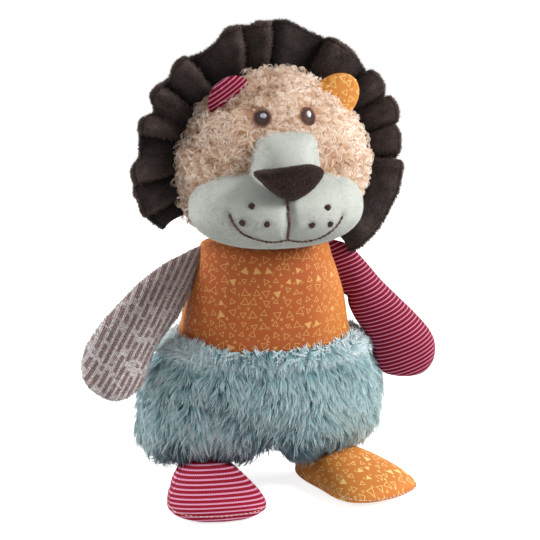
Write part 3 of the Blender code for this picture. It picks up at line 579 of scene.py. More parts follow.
def print_material(name, colours, mark_share):
    """Orange twill with a pale print of small triangles, and yellower to the lion's left: a painted sheen
    where the key light falls.
    """
    dark, light, blotch_and_sheen_colour, mark_colour = map(srgb, colours.split())
    material, tree = new_material(name)
    place = mapped(tree)
    large = triangle_layer(tree, place, (0.011, 0.004, 0), 0.00122, 0.00034, 0.14)
    small = triangle_layer(tree, place, (0.0017, 0.0195, 0), 0.00052, 0.00030, 0.34)
    across, along, _ = split(tree, place)
    weave = ((across * 2.0 + along).wave(TWILL_PITCH) + along.wave(TWILL_PITCH / 2) * 0.5) * 0.33
    # painted sheen: the ground turns yellower across towards the lion's left, where the key light falls; the
    # blotches are the cloth's own
    painted_sheen_share = ramp(tree, across * 10.0, ((0.05, 0.0), (0.50, 0.65)))
    blotch = noise(tree, place, 60.0) * 0.25
    ground = mixed(tree, blotch.maths("MAXIMUM", painted_sheen_share), mixed(tree, weave * 0.5 + 0.5, dark, light), blotch_and_sheen_colour)
    colour = mixed(tree, large.maths("MAXIMUM", small * 0.7) * mark_share, ground, mark_colour)
    set_surface(tree, colour, 0.72, bump(tree, weave, 0.35, 0.0003), 0.08, srgb("f0a060"))
    return material


def stripe_material(name, colours, stripe_start):
    """Dark red cloth with thin pink ribbed stripes."""
    dark, light, stripe_colour = map(srgb, colours.split())
    material, tree = new_material(name)
    across, along, _ = split(tree, mapped(tree))
    stripe = ramp(tree, along.wave(STRIPE_PITCH) * 0.5 + 0.5,
                  ((stripe_start, 0.0), (stripe_start + 0.14, 1.0)))
    rib = (along * 0.8 + across).wave(RIB_PITCH)
    rib_share = rib * 0.35 + 0.65
    colour = mixed(tree, stripe * rib_share, mixed(tree, rib_share, dark, light), stripe_colour)
    set_surface(tree, colour, 0.75, bump(tree, rib * 0.35 + stripe, 0.4, 0.0003), 0.02, srgb("f0a0b8"), 0.08)
    return material


def knit_material():
    """Pale grey knit with broken brown stitches in columns, browner towards the arm's root."""
    material, tree = new_material("marled_knit")
    place = mapped(tree)
    across, along, _ = split(tree, place)
    wale = across * (1 / KNIT_WALE)
    column = (wale * (math.tau * 4)).maths("COSINE")
    stitch = along.wave(KNIT_STITCH)
    shifted = along + noise(tree, place, 240.0, 1.0) * 0.004
    run = add(tree, "CombineXYZ", [(wale + 0.5).maths("FLOOR") * 7.31, shifted * (1 / KNIT_DASH)])
    dashes = ramp(tree, noise(tree, Value(run.outputs[0]), 1.0, 1.0), ((0.39, 0.0), (0.46, 1.0)))
    upper = ramp(tree, along * 10.0, ((0.45, 0.0), (0.85, 1.0)))
    ridge = ramp(tree, (wale * math.tau).maths("COSINE") * 0.5 + 0.5, ((0.22, 0.0), (0.52, 1.0)))
    brown = dashes.maths("MAXIMUM", upper * 0.75) * ridge * (column * stitch * 0.20 + 0.80)
    grey = ramp(tree, noise(tree, place, 700.0, 2.0), ((0.3, srgb("afa4a3")), (0.7, srgb("d8d0d1"))))
    ground = mixed(tree, upper * 0.30, grey, srgb("8a6a60"))
    height = column + stitch * 0.6
    set_surface(tree, mixed(tree, brown, ground, srgb("66403a")), 0.9, bump(tree, height, 0.5, 0.0004), 0.08,
                srgb("ffffff"))
    return material


def mane_material():
    """Dark short pile with painted shade: its map holds how open each place of the pleats lies, from 0 in a
    fold, painted near black, to 1.
    """
    material, tree = new_material("velboa_mane")
    painted_fold_light = split(tree, mapped(tree))[0]
    place = body_place(tree)
    fine = noise(tree, place, 1500.0, 2.0)
    shade = noise(tree, place, 110.0, 4.0, 0.6) * 0.6 + fine * 0.4
    open_colour = ramp(tree, shade, ((0.38, srgb("1f1a1a")), (0.62, srgb("4a3e3b"))))
    # painted shade: near black where the map says a fold or the seam lies
    colour = mixed(tree, painted_fold_light, srgb("0b090a"), open_colour)
    set_surface(tree, colour, 0.9, bump(tree, fine, 0.7, 0.0005), 0.22, srgb("a88a80"))
    return material


def thread_material(name, colours):
    dark, light = map(srgb, colours.split())
    material, tree = new_material(name)
    tint = split(tree, mapped(tree, "OFBake"))[0]
    set_surface(tree, mixed(tree, tint, dark, light), 0.6, None, 0.05, light)
    return material


PRINT = print_material("triangle_print", "84391b ad542a c47c34 e2bb70", 0.54)
# the print in yellower, paler colours: a painted sheen for the ear and foot on the lion's left, where the key
# light falls
PAINTED_SHEEN_PRINT = print_material("painted_sheen_print", "b06026 d28238 d99346 f6df94", 0.75)
STRIPE = stripe_material("striped_cotton", "3c040c 7d0e20 d98fb4", 0.76)
# a brighter copy of the striped cotton: painted light for the foot, whose top faces up to the lamps
PAINTED_LIGHT_STRIPE = stripe_material("painted_light_striped_cotton", "5c0a16 9c1a2e f0acd0", 0.66)
KNIT = knit_material()
TEAL_BACK = backing_material("teal_backing", "2f5257 4d7b80", 0.0015)
CREAM_BACK = backing_material("cream_backing", "bc9576 c8a689", 0.0015)
WHITE_BACK = backing_material("minky_backing", "b4b7b0 c2c5be", 0.0012, 0.1)
BROWN_BACK = backing_material("velboa_backing", "241c1a 40332f", 0.0008)
MANE_CLOTH = mane_material()
TEAL_PILE = pile_material("teal_pile", "3f646c 86b0b7 dcedee 808b96 ffffff")
# a paler copy of the teal pile: painted light for the short upright fibres at the waist, which lie in shade
PAINTED_LIGHT_TEAL_PILE = pile_material("painted_light_teal_pile", "8fb2b8 b4cfd4 e9f1f3 c4cfd4 ffffff")
# the cream piles' darker roots: partly the fibres' own colour, partly painted shade for the shadow that most
# head fibres do not cast
CREAM_PILE = pile_material("cream_pile", "a67f64 c09f86 dac9b6 e6d2c4 ffffff")
PALE_CREAM_PILE = pile_material("pale_cream_pile", "b08d73 ccb29c e9e2da ecdccf ffffff")
YARN_FUZZ = pile_material("yarn_fuzz", "8d8482 b9b4b2 dedbda b09a94 ffffff")
NOSE_PILE = pile_material("nose_pile", "1a1413 352a28 6b574f 2c2523 fff2ea")
WHITE_PILE = pile_material("minky_pile", "aeb1aa bdc0b9 d2d5ce d6d8d6 ffffff")
BROWN_PILE = pile_material("velboa_pile", "221b1b 40342f 7a665c 2a2422 fff4f0")
DARK_THREAD = thread_material("dark_thread", "241413 3f2723")
BROWN_THREAD = thread_material("brown_thread", "2e1c19 67473d")
RIM_THREAD = thread_material("rim_thread", "5b3a30 7a5140")
PALE_THREAD = thread_material("pale_thread", "c89a86 ecd6c8")
GLINT_THREAD = thread_material("glint_thread", "c4c4cc e6e6ec")
# the highlight thread painted greyer: painted shade for the lion's right eye, away from the key light
PAINTED_SHADE_GLINT_THREAD = thread_material("painted_shade_glint_thread", "8b8c99 b0b2c0")

# Body


def spine(height):
    share = (height - 0.050) / 0.100
    return 0.0030 * share, 0.0060 - 0.0150 * share


FRONT = np.radians(np.linspace(180, 360, 97))
BACK = np.radians(np.linspace(0, 180, 97))


def torso_grid(angles):
    """The torso's front or back panel, pinched in a little at the side seams."""
    rows = resample(TORSO_SHARES, 90)
    height = WAIST_Z + TORSO_HEIGHT * rows[:, :1]
    centre_x, centre_y = spine(height)
    edge = np.abs(np.cos(angles)) ** SIDE_SEAM_POWER
    pinch = 1 - SIDE_SEAM_PINCH * edge
    width = rows[:, 1:2] - rows[:, 3:4] * (np.cos(angles) > 0)
    across = TORSO_HALF[0] * width * np.cos(angles) * pinch
    along = TORSO_HALF[1] * rows[:, 2:3] * np.sin(angles)
    grid = stack(centre_x + across, centre_y + along, height + 0 * angles)
    middle = np.array((0.0015, 0, 0))
    swell = 0.0006 * mottle(grid, 0.030, 5) * smooth((0.150 - height) / 0.03) * (1 - edge)
    return grid + unit(grid * (1, 1, 0) - middle) * swell[..., None]


torso_front, torso_back = torso_grid(FRONT), torso_grid(BACK)
back_uv = cloth_uv(torso_back) + BACK_PRINT_SHIFT
add_cover("torso_cover", [torso_front, (torso_back, back_uv)], PRINT, "body", "orange",
          ("torso_front_panel", "torso_back_panel", "body_filling"), 0.7)


def trouser_grid(inset):
    """The trousers this far inside their outer form, with the two legs drawn down below the notch."""
    rows = resample(TROUSER_SHARES, 110)
    top = WAIST_Z - 0.0003
    height = top - (top - CROTCH_Z) * rows[:, :1]
    angles = full_turn(161)
    low = smooth((LEG_START_Z - height) / (LEG_START_Z - CROTCH_Z))
    taper = 0.0012 + (inset - 0.0012) * smooth((WAIST_Z - height) / 0.012)
    height = height + 0.5 * inset * low
    centre_x, centre_y = spine(height)
    across = np.maximum(TROUSER_HALF[0] * rows[:, 1:2] - taper, 0) * np.cos(angles)
    along = np.maximum(TROUSER_HALF[1] * rows[:, 2:3] - taper, 0) * np.sin(angles)
    x = centre_x + across
    z = height - LEG_DROP * low * smooth((np.abs(x) - 0.003) / 0.017)
    return stack(x, centre_y + along, np.maximum(z, ANKLE_Z + 0.4 * inset))


trousers = trouser_grid(TROUSER_PILE)
hem = trousers[:1] + (0, 0, -0.004)
lid = hem * 0 + hem.mean(axis=1, keepdims=True)
add_cover("trousers_cover", [np.concatenate([lid, hem, trousers])], TEAL_BACK, "body", "teal",
          ("trousers_front_panel", "trousers_back_panel"), 0.7)


def clumped(roots, out, rng, children, spread):
    """Each root repeated for its clump's children, which start a little apart."""
    clump = np.repeat(np.arange(len(roots)), children)
    loose = flattened(rng.normal(size=(len(clump), 3)) * spread, out[clump])
    return clump, roots[clump] + loose, out[clump]


def trouser_fur():
    """Long locks that hang down and fan out to the sides, longest at the legs' outer corners."""
    roots, out, rng = scatter([(trousers, TROUSER_MIDDLE)], 10500, 11)
    stray = 0.50 * mottle(roots, 0.016, 3) + 0.30 * rng.normal(size=len(roots))
    sideways = unit(np.cross(out, DOWN)) * stray[:, None]
    fan = np.sign(roots[:, :1]) * np.array((1.0, 0, 0)) * smooth(np.abs(roots[:, :1]) / 0.06) * 0.45
    flow = unit(flattened(DOWN + sideways + fan, out))
    low = smooth((0.062 - roots[:, 2]) / 0.030)
    right_corner = smooth((-roots[:, 0] - 0.026) / 0.030) * low
    corner = right_corner + 0.6 * smooth((roots[:, 0] - 0.040) / 0.030) * low
    crotch = smooth((0.022 - np.abs(roots[:, 0] - 0.004)) / 0.012) * smooth((0.050 - roots[:, 2]) / 0.012)
    flank = smooth((-roots[:, 0] - 0.050) / 0.020)
    longer = 1 + 0.65 * corner + 0.40 * crotch + 0.12 * flank
    length = rng.uniform(0.0080, 0.0135, len(roots)) * longer
    lift = rng.uniform(0.40, 0.70, len(roots))
    tone = 0.5 + 0.25 * mottle(roots, 0.035, 8) + 0.18 * rng.normal(size=len(roots))
    # painted light and shade: the fur lighter towards the lion's left, where the key light falls, and darker
    # towards the bottom
    tone += 0.45 * smooth((roots[:, 0] - 0.010) / 0.050) - 0.70 * smooth((0.050 - roots[:, 2]) / 0.022)
    lay_fur("trousers_fur", roots, out, rng, flow, length, lift, tone, 5, TEAL_PILE)


def waist_fur():
    """The short soft edge of the fur where it meets the torso."""
    band = trouser_grid(WAIST_PILE)[:12]
    roots, out, rng = scatter([(band, TROUSER_MIDDLE)], 3000, 12,
                              lambda points: 1 + 1.6 * smooth((np.abs(points[:, 0] - 0.001) - 0.030) / 0.012))
    flow = unit(flattened(rng.normal(size=roots.shape) + np.array((0.0, 0.0, -0.35)), out))
    corner = smooth((np.abs(roots[:, 0] - 0.001) - 0.034) / 0.014)
    flow = unit(flow + np.array((0.0, 0.0, 0.6)) * corner[:, None])
    length = rng.uniform(0.0036, 0.0062, len(roots)) * (1 + 0.25 * corner)
    lift = rng.uniform(0.35, 0.75, len(roots))
    # painted highlight: the fibres lighter at the waist's corners, where a rim light would catch them
    tone = 0.55 + 0.5 * corner + 0.2 * rng.normal(size=len(roots))
    lay_fur("waist_fur", roots, out, rng, flow, length, lift, tone, 4, PAINTED_LIGHT_TEAL_PILE)


def lay_fur(name, roots, out, rng, flow, length, lift, tone, children, material):
    """Locks of fibres that rise from their roots, draw together and lie along the flow."""
    clump, starts, facing = clumped(roots, out, rng, children, FUR_SPREAD)
    steps = np.linspace(0, 1, 6)[None, :, None]
    own = length[clump] * rng.uniform(0.82, 1.1, len(clump))
    wander = unit(rng.normal(size=(len(clump), 3))) * 0.0012
    gather = (roots[clump] - starts)[:, None] * (0.75 * steps ** 1.5)
    rise_path = facing[:, None] * (lift[clump] * own)[:, None, None] * (1.35 * steps - 0.62 * steps ** 2)
    run_path = flow[clump][:, None] * own[:, None, None] * (0.22 * steps + 0.70 * steps ** 1.6)
    centre = starts[:, None] + gather + rise_path + run_path + wander[:, None] * steps ** 2
    centre[..., 2] = np.maximum(centre[..., 2], LOWEST_FIBRE_Z)
    profile = np.array((1.0, 1.0, 0.92, 0.75, 0.48, 0.0))
    radius = rng.uniform(*FUR_RADII, len(clump))[:, None] * profile
    tint = tone[clump] + 0.10 * rng.normal(size=len(clump))
    add_strands(name, centre, radius, tint, material, "body", "teal", facing=facing, softness=0.40)


trouser_fur()
waist_fur()

# Neck and head

# radius and height
NECK_OUTLINE = (
    (0.0, 0.144), (0.016, 0.144), (0.0205, 0.146), (0.021, 0.151), (0.020, 0.157), (0.014, 0.160),
    (0.0, 0.160),
)
angles = full_turn(73)
neck_rows = resample(NECK_OUTLINE, 36)
neck_radius, neck_height = neck_rows[:, :1], neck_rows[:, 1:]
neck = stack(HEAD_CENTRE[0] + neck_radius * np.cos(angles), HEAD_CENTRE[1] + neck_radius * np.sin(angles),
             neck_height + 0 * angles)
add_cover("neck_cover", [neck], CREAM_BACK, "neck", "cream", ("neck_filling",), 0.8)


def head_grid(inset, side):
    """The front (side -1) or the back (side 1) of the head, from the mane's seam to the middle."""
    latitude = np.radians(np.linspace(0, 90, 45))[:, None]
    turned = full_turn(145)
    radial = np.cos(latitude) ** HEAD_ROUNDNESS
    radial[-1] = 0
    fullness = np.array(HEAD_FULLNESS)
    radial = radial * np.interp(np.degrees(turned), fullness[:, 0], fullness[:, 1])
    up = radial * np.sin(turned)
    across = radial * np.cos(turned) * (1 - JOWL_SHARE * up)
    depth = (FACE_DEPTH if side < 0 else NAPE_DEPTH) - inset
    return stack(HEAD_CENTRE[0] + (HEAD_HALF[0] - inset) * across,
                 HEAD_CENTRE[1] + side * depth * np.sin(latitude) ** HEAD_ROUNDNESS,
                 HEAD_CENTRE[2] + (HEAD_HALF[1] - inset) * up)


head_front, head_back = head_grid(HEAD_PILE, -1), head_grid(HEAD_PILE, 1)
add_cover("head_cover", [head_front, head_back], CREAM_BACK, "head", "cream",
          ("face_panel", "head_back_panel", "head_filling"), 0.8)


def muzzle_front(x, z):
    """How far forward the plain muzzle reaches at this place in the front view."""
    across = np.abs(x - MUZZLE_CENTRE[0]) / MUZZLE_HALF[0]
    up = np.abs(z - MUZZLE_CENTRE[2]) / MUZZLE_HALF[1]
    radial = np.minimum(across ** FRONT_SQUARENESS + up ** FRONT_SQUARENESS, 1) ** (1 / FRONT_SQUARENESS)
    return MUZZLE_DEPTH * (1 - radial ** TOP_SQUARENESS) ** (1 / TOP_SQUARENESS)


# Stitching, across and up in the front view
SMILE = {
    -1: ((-0.0006, 0.1635), (-0.0085, 0.1624), (-0.0166, 0.1641), (-0.0259, 0.1680), (-0.0312, 0.1735),
         (-0.0336, 0.1790)),
    1: ((-0.0006, 0.1635), (0.0081, 0.1618), (0.0145, 0.1624), (0.0202, 0.1643), (0.0268, 0.1695),
        (0.0306, 0.1756)),
}
MOUTH = ((-0.0021, 0.1880), (-0.0018, 0.1800), (-0.0012, 0.1710), (-0.0006, 0.1635))
DOTS = (
    (-0.0223, 0.1841), (-0.0274, 0.1748), (-0.0144, 0.1742), (0.0208, 0.1818), (0.0114, 0.1725),
    (0.0226, 0.1721),
)


def line_distance(x, z, line):
    """The distance from each place in the front view to a line through these points."""
    line = resample(line, 40)
    best = np.full(np.shape(x), np.inf)
    for (ax, az), (bx, bz) in zip(line, line[1:]):
        length = (bx - ax) ** 2 + (bz - az) ** 2
        share = np.clip(((x - ax) * (bx - ax) + (z - az) * (bz - az)) / length, 0, 1)
        best = np.minimum(best, np.hypot(x - ax - share * (bx - ax), z - az - share * (bz - az)))
    return best


def muzzle_dent(x, z):
    """How far the stitches pull the muzzle in, and how far the pads between them swell."""
    dent = 0.0030 * np.exp(-(line_distance(x, z, MOUTH) / 0.0030) ** 2)
    for side in (-1, 1):
        dent = np.maximum(dent, 0.0020 * np.exp(-(line_distance(x, z, SMILE[side]) / 0.0024) ** 2))
    for dot_x, dot_z in DOTS:
        dent = np.maximum(dent, 0.0007 * np.exp(-((x - dot_x) ** 2 + (z - dot_z) ** 2) / 0.0022 ** 2))
    swell = 0.0
    for side in (-1, 1):
        swell = swell + 0.0022 * np.exp(-(((x - side * 0.018) / 0.017) ** 2 + ((z - 0.178) / 0.012) ** 2))
    return dent - swell


def muzzle_skin(x, z):
    """A point on the sewn muzzle's skin."""
    return stack(x, MUZZLE_CENTRE[1] - muzzle_front(x, z) + muzzle_dent(x, z), z)


def muzzle_grid():
    turned = full_turn(241)
    latitude = np.radians(np.linspace(0, 90, 90))[:, None]
    share = np.cos(latitude) ** (2 / TOP_SQUARENESS)
    share[-1] = 0
    x = MUZZLE_CENTRE[0] + MUZZLE_HALF[0] * share * power(np.cos(turned), 2 / FRONT_SQUARENESS)
    z = MUZZLE_CENTRE[2] + MUZZLE_HALF[1] * share * power(np.sin(turned), 2 / FRONT_SQUARENESS)
    forward = MUZZLE_DEPTH * np.sin(latitude) ** (2 / TOP_SQUARENESS)
    fade = smooth(np.degrees(latitude) / 20)
    front = stack(x, MUZZLE_CENTRE[1] - forward + muzzle_dent(x, z) * fade, z)
    rim = front[:1]
    middle = rim.mean(axis=1, keepdims=True)
    back = [middle + (rim - middle) * (size, 1, size) + (0, reach, 0)
            for size, reach in ((0.0, 0.026), (0.80, 0.025), (0.90, 0.014), (0.97, 0.006))]
    return np.concatenate(back + [front], axis=0)


muzzle = muzzle_grid()
add_cover("muzzle_cover", [muzzle], WHITE_BACK, "head", "white", ("muzzle_panel", "muzzle_filling"), 0.8)


def bridge_grid():
    rows = resample(BRIDGE_SHARES, 60)
    turned = full_turn(121)
    across = BRIDGE_HALF[0] * rows[:, 1:2] * power(np.cos(turned), 0.92) + BRIDGE_LEAN * rows[:, :1] ** 2
    along = BRIDGE_HALF[1] * rows[:, 2:3] * power(np.sin(turned), 0.92)
    return stack(across, BRIDGE_Y + along, BRIDGE_BASE_Z + BRIDGE_HEIGHT * rows[:, :1] + 0 * turned)


bridge = bridge_grid()
bridge_base = np.repeat(bridge[:1].mean(axis=1, keepdims=True), bridge.shape[1], axis=1)
add_cover("bridge_cover", [np.concatenate([bridge_base, bridge])], WHITE_BACK, "head", "white",
          ("bridge_panel", "bridge_filling"), 0.8)


def nose_grid():
    """The nose, from its flat back over its outline to its domed front."""
    latitude = np.radians(np.linspace(0, 90, 50))[:, None, None]
    share = np.cos(latitude) ** 0.5
    share[-1] = 0
    ring = np.array(NOSE_OUTLINE[-1:] + NOSE_OUTLINE + NOSE_OUTLINE[:2])
    ring = resample(ring, (len(ring) - 1) * 9 + 1)[9:-9] / 1000
    middle = np.array((-0.0006, -0.0040))
    flat = middle + (ring - middle) * share
    front = stack(flat[..., 0], NOSE_CENTRE[1] - NOSE_DEPTH / 2 * (1 + np.sin(latitude[..., 0])),
                  NOSE_CENTRE[2] + flat[..., 1])
    base = front[:1] + (0, NOSE_DEPTH / 2, 0)
    closed = base * (0, 1, 0) + (middle[0], 0, NOSE_CENTRE[2] + middle[1])
    return np.concatenate([closed, base, front])


nose = nose_grid()
add_cover("nose_cover", [nose], BROWN_BACK, "head", "brown", ("nose",), 0.7)


# where the head's fur leaves room: half width and half height
EYE_ROOM = (0.0026, 0.0030)
BRIDGE_ROOM = (0.014, 0.017)
MUZZLE_ROOM = (0.047, 0.020)
JAW_DEPTH = 0.0035
BACK_DENSITY = 0.55
# how far from an eye the locks start to lie low and to be combed around it, and how much higher their roots
# start where they lie low
LOW_NEAR_EYE = 0.0086
COMBED_NEAR_EYE = 0.0100
RAISED_NEAR_EYE = 0.0030


def face_shown(points):
    """Where the head's fur grows: not under the muzzle, the bridge or the eyes, and thinner on the back."""
    x, y, z = points.T
    across, up = np.abs(x / MUZZLE_ROOM[0]), np.abs((z - 0.179) / MUZZLE_ROOM[1])
    hidden = across ** FRONT_SQUARENESS + up ** FRONT_SQUARENESS < 1
    hidden |= (np.abs(x) < BRIDGE_ROOM[0]) & (np.abs(z - 0.200) < BRIDGE_ROOM[1])
    for eye_x in EYES_X:
        hidden |= ((x - eye_x) / EYE_ROOM[0]) ** 2 + ((z - EYE_Z) / EYE_ROOM[1]) ** 2 < 1
    hidden &= y < MUZZLE_CENTRE[1] + JAW_DEPTH
    return np.where(hidden, 0.0, np.where(y > HEAD_CENTRE[1], BACK_DENSITY, 1.0))


def head_curls(name, count, seed, low, high, standing_share, material, shades):
    """Small wavy locks that swirl over the head, some of them standing up."""
    roots, out, rng = scatter([(head_front, HEAD_CENTRE), (head_back, HEAD_CENTRE)], count, seed, face_shown)
    clump, starts, facing = clumped(roots, out, rng, 4, CURL_SPREAD)
    swirl = np.stack([mottle(roots, 0.026, place) for place in (31, 32, 33)], axis=1)
    turn = unit(1.3 * swirl + 0.65 * rng.normal(size=(len(roots), 3)) + np.array((0, 0, -0.25)))
    # near the eyes the locks lie lower and are combed around them
    pressed = np.ones(len(roots))
    for eye_x in EYES_X:
        away = (roots - (eye_x, 0, EYE_Z)) * (1, 0, 1)
        gap = np.linalg.norm(away, axis=1)
        pressed -= 0.48 * smooth((LOW_NEAR_EYE - gap) / 0.003)
        around = np.sign(swirl[:, :1]) * np.stack([-away[:, 2], away[:, 1], away[:, 0]], axis=1)
        near = 0.8 * smooth((COMBED_NEAR_EYE - gap) / 0.004)[:, None]
        turn = turn * (1 - near) + unit(0.45 * unit(away) + unit(around)) * near
    turn = unit(flattened(turn, out))
    wave = np.cross(out, turn)[clump]
    reach = rng.uniform(0.0044, 0.0076, len(roots))[clump] * rng.uniform(0.85, 1.12, len(clump))
    standing = np.where(rng.random(len(roots)) < standing_share, 1.7, 1.0)
    height = (rng.uniform(low, high, len(roots)) * standing * pressed)[clump]
    height = height * rng.uniform(0.85, 1.15, len(clump))
    sway = (rng.choice((-1.0, 1.0), len(roots)) * rng.uniform(0.0007, 0.0018, len(roots)))[clump]
    turned = rng.uniform(1.0, 1.6, len(roots))[clump]
    steps = np.linspace(0, 1, 7)[None, :, None]
    reach, height, sway, turned = (part[:, None, None] for part in (reach, height, sway, turned))
    tall = height * np.sin(math.pi * (0.72 * steps) ** 0.85)
    tall = tall + (RAISED_NEAR_EYE * (1 - pressed))[clump][:, None, None]
    run = reach * (0.20 * steps + 0.80 * steps ** 1.3)
    centre = starts[:, None] + facing[:, None] * tall + turn[clump][:, None] * run
    centre = centre + wave[:, None] * sway * np.sin(math.pi * turned * steps)
    centre = centre + (roots[clump] - starts)[:, None] * (0.85 * steps ** 1.4)
    centre = centre + (unit(rng.normal(size=(len(clump), 3))) * 0.0004)[:, None] * steps
    profile = np.array((1.0, 1.0, 0.97, 0.90, 0.75, 0.50, 0.0))
    radius = rng.uniform(*CURL_RADII, len(clump))[:, None] * profile
    tone = 0.5 + 0.2 * mottle(roots, 0.03, 9) + 0.2 * rng.normal(size=len(roots))
    tint = tone[clump] + 0.08 * rng.normal(size=len(clump))
    add_strands(name, centre, radius, tint, material, "head", "cream", facing=facing, softness=0.55,
                shades=shades)


# name, locks, seed, lowest and highest, share that stands up, material, and whether they cast a shade
for curls in (("head_fur", 1100, 21, 0.0018, 0.0030, 0.10, CREAM_PILE, True),
              ("head_soft_fur", 4600, 23, 0.0018, 0.0030, 0.20, CREAM_PILE, False),
              ("head_wisps", 3600, 22, 0.0024, 0.0038, 0.45, PALE_CREAM_PILE, False)):
    head_curls(*curls)


def fuzz(name, grids, material, body, slot, count, seed, length, width, lean=DOWN, loose=0.55, keep=None,
         softness=0.55, shades=True):
    """Short straight pile that leans one way with some disorder."""
    roots, out, rng = scatter(grids, count, seed)
    if keep is not None:
        kept = keep(roots)
        roots, out = roots[kept], out[kept]
    nap = flattened(unit(np.array(lean) + loose * rng.normal(size=roots.shape)), out)
    reach = length * rng.uniform(0.7, 1.25, len(roots))[:, None, None]
    steps = np.array((0.0, 0.55, 1.0))[None, :, None]
    centre = roots[:, None] + out[:, None] * reach * (0.75 * steps - 0.2 * steps ** 2)
    centre = centre + nap[:, None] * reach * 0.6 * steps ** 1.6
    radius = width * rng.uniform(0.8, 1.2, len(roots))[:, None] * np.array((1.0, 0.85, 0.0))
    tint = 0.5 + 0.12 * mottle(roots, 0.012, seed) + 0.22 * rng.normal(size=len(roots))
    add_strands(name, centre, radius, tint, material, body, slot, facing=out, softness=softness,
                shades=shades)


pale = {"lean": (0, -0.2, -1.0), "loose": 0.6, "softness": 0.9, "shades": False}
fuzz("muzzle_fuzz", [(muzzle[3:], (0.0, -0.035, 0.179))], WHITE_PILE, "head", "white",
     count=36000, seed=31, length=0.0021, width=0.00012, **pale)
fuzz("bridge_fuzz", [(bridge[6:], (0.0, -0.045, 0.200))], WHITE_PILE, "head", "white",
     count=12000, seed=32, length=0.0019, width=0.00012, keep=lambda points: points[:, 1] < -0.044, **pale)
fuzz("nose_fuzz", [(nose[1:], (0.0, -0.064, 0.201))], NOSE_PILE, "head", "brown",
     count=9000, seed=33, length=0.0017, width=0.00018, keep=lambda points: points[:, 1] < -0.066)

# Embroidery


def stitch_paths(starts, ends, out, height, steps=7):
    """Threads from start to end that rise out of the cloth between their two holes."""
    share = np.linspace(0, 1, steps)[None, :, None]
    lift = np.sin(math.pi * (0.06 + 0.88 * share)) ** 0.6
    return starts[:, None] * (1 - share) + ends[:, None] * share + out[:, None] * height * lift


def add_threads(name, paths, radius, rng, material, body, slot="thread", sides=6, **settings):
    """Threads of one thickness, each with a tint of its own."""
    profile = np.tile(STITCH_PROFILE, (len(paths), 1))
    tints = rng.uniform(0, 1, len(paths))
    return add_strands(name, paths, radius * profile, tints, material, body, slot, sides, **settings)


def stitched_line(name, line, radius, node, seed):
    """Back stitches end to end along a line over the muzzle."""
    dense = resample(line, 400)
    skin = muzzle_skin(dense[:, 0], dense[:, 1])
    run = run_lengths(skin)
    count = max(int(round(run[-1] / STITCH_LENGTH)), 1)
    ends = np.linspace(0, run[-1], count + 1)
    places = points_at(ends, run, skin)
    step = 0.0005
    mid = (places[:-1] + places[1:]) / 2
    across = muzzle_skin(mid[:, 0] + step, mid[:, 2]) - muzzle_skin(mid[:, 0] - step, mid[:, 2])
    up = muzzle_skin(mid[:, 0], mid[:, 2] + step) - muzzle_skin(mid[:, 0], mid[:, 2] - step)
    out = unit(np.cross(across, up))
    along = unit(places[1:] - places[:-1])
    overlap = along * radius * 0.3
    centre = stitch_paths(places[:-1] - overlap, places[1:] + overlap, out, 0.0011)
    add_threads(name, centre, radius, np.random.default_rng(seed), BROWN_THREAD, "head", sides=8,
                stands_for=(node,))


stitched_line("mouth_stitches", MOUTH, 0.00080, "mouth_stitching", 41)
stitched_line("smile_stitches_right", SMILE[-1], 0.00070, "smile_stitching_right", 42)
stitched_line("smile_stitches_left", SMILE[1], 0.00070, "smile_stitching_left", 43)


def across_and_up(out):
    """The two directions of a small flat patch that faces this way."""
    side = unit(np.cross(out, UP))
    return side, np.cross(side, out)


def satin(name, centre, out, half_width, half_height, rows, radius, material, nodes, seed, rise,
          slot="thread", shades=True):
    """A filled disc of side-by-side threads on a slightly domed bed."""
    side, up = across_and_up(out)
    rng = np.random.default_rng(seed)
    places = np.linspace(-0.94, 0.94, rows)
    chord = np.sqrt(1 - places ** 2) * half_height * rng.uniform(0.93, 1.05, rows)
    foot = centre + side * (places * half_width)[:, None]
    path = stitch_paths(foot - up * chord[:, None], foot + up * chord[:, None], np.tile(out, (rows, 1)), 0)
    dome = (1 - places ** 2)[:, None] * np.sin(math.pi * np.linspace(0.04, 0.96, 7))[None] ** 0.5
    path = path + out * (rise * dome)[..., None]
    return add_threads(name, path, radius, rng, material, "head", slot, stands_for=nodes, shades=shades)


def box_middle(node):
    low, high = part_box(node)
    return np.array((low + high) / 2)


# name, place across, how wide and tall it is beside its radius, thread, and the highlight's place, half
# width and height, and thread
# the lion's left eye takes browner thread and the white highlight, painted light where the key light falls;
# the right eye takes darker thread and the grey highlight, painted shade
EYES = (
    ("right", EYES_X[0], (1.10, 1.20), DARK_THREAD, (0.0008, 0.0011), (0.0017, 0.0016), PAINTED_SHADE_GLINT_THREAD),
    ("left", EYES_X[1], (1.00, 1.12), BROWN_THREAD, (0.0006, 0.0014), (0.0012, 0.0021), GLINT_THREAD),
)
EYE_THREADS, RIM_THREADS, GLINT_THREADS = 21, 38, 7


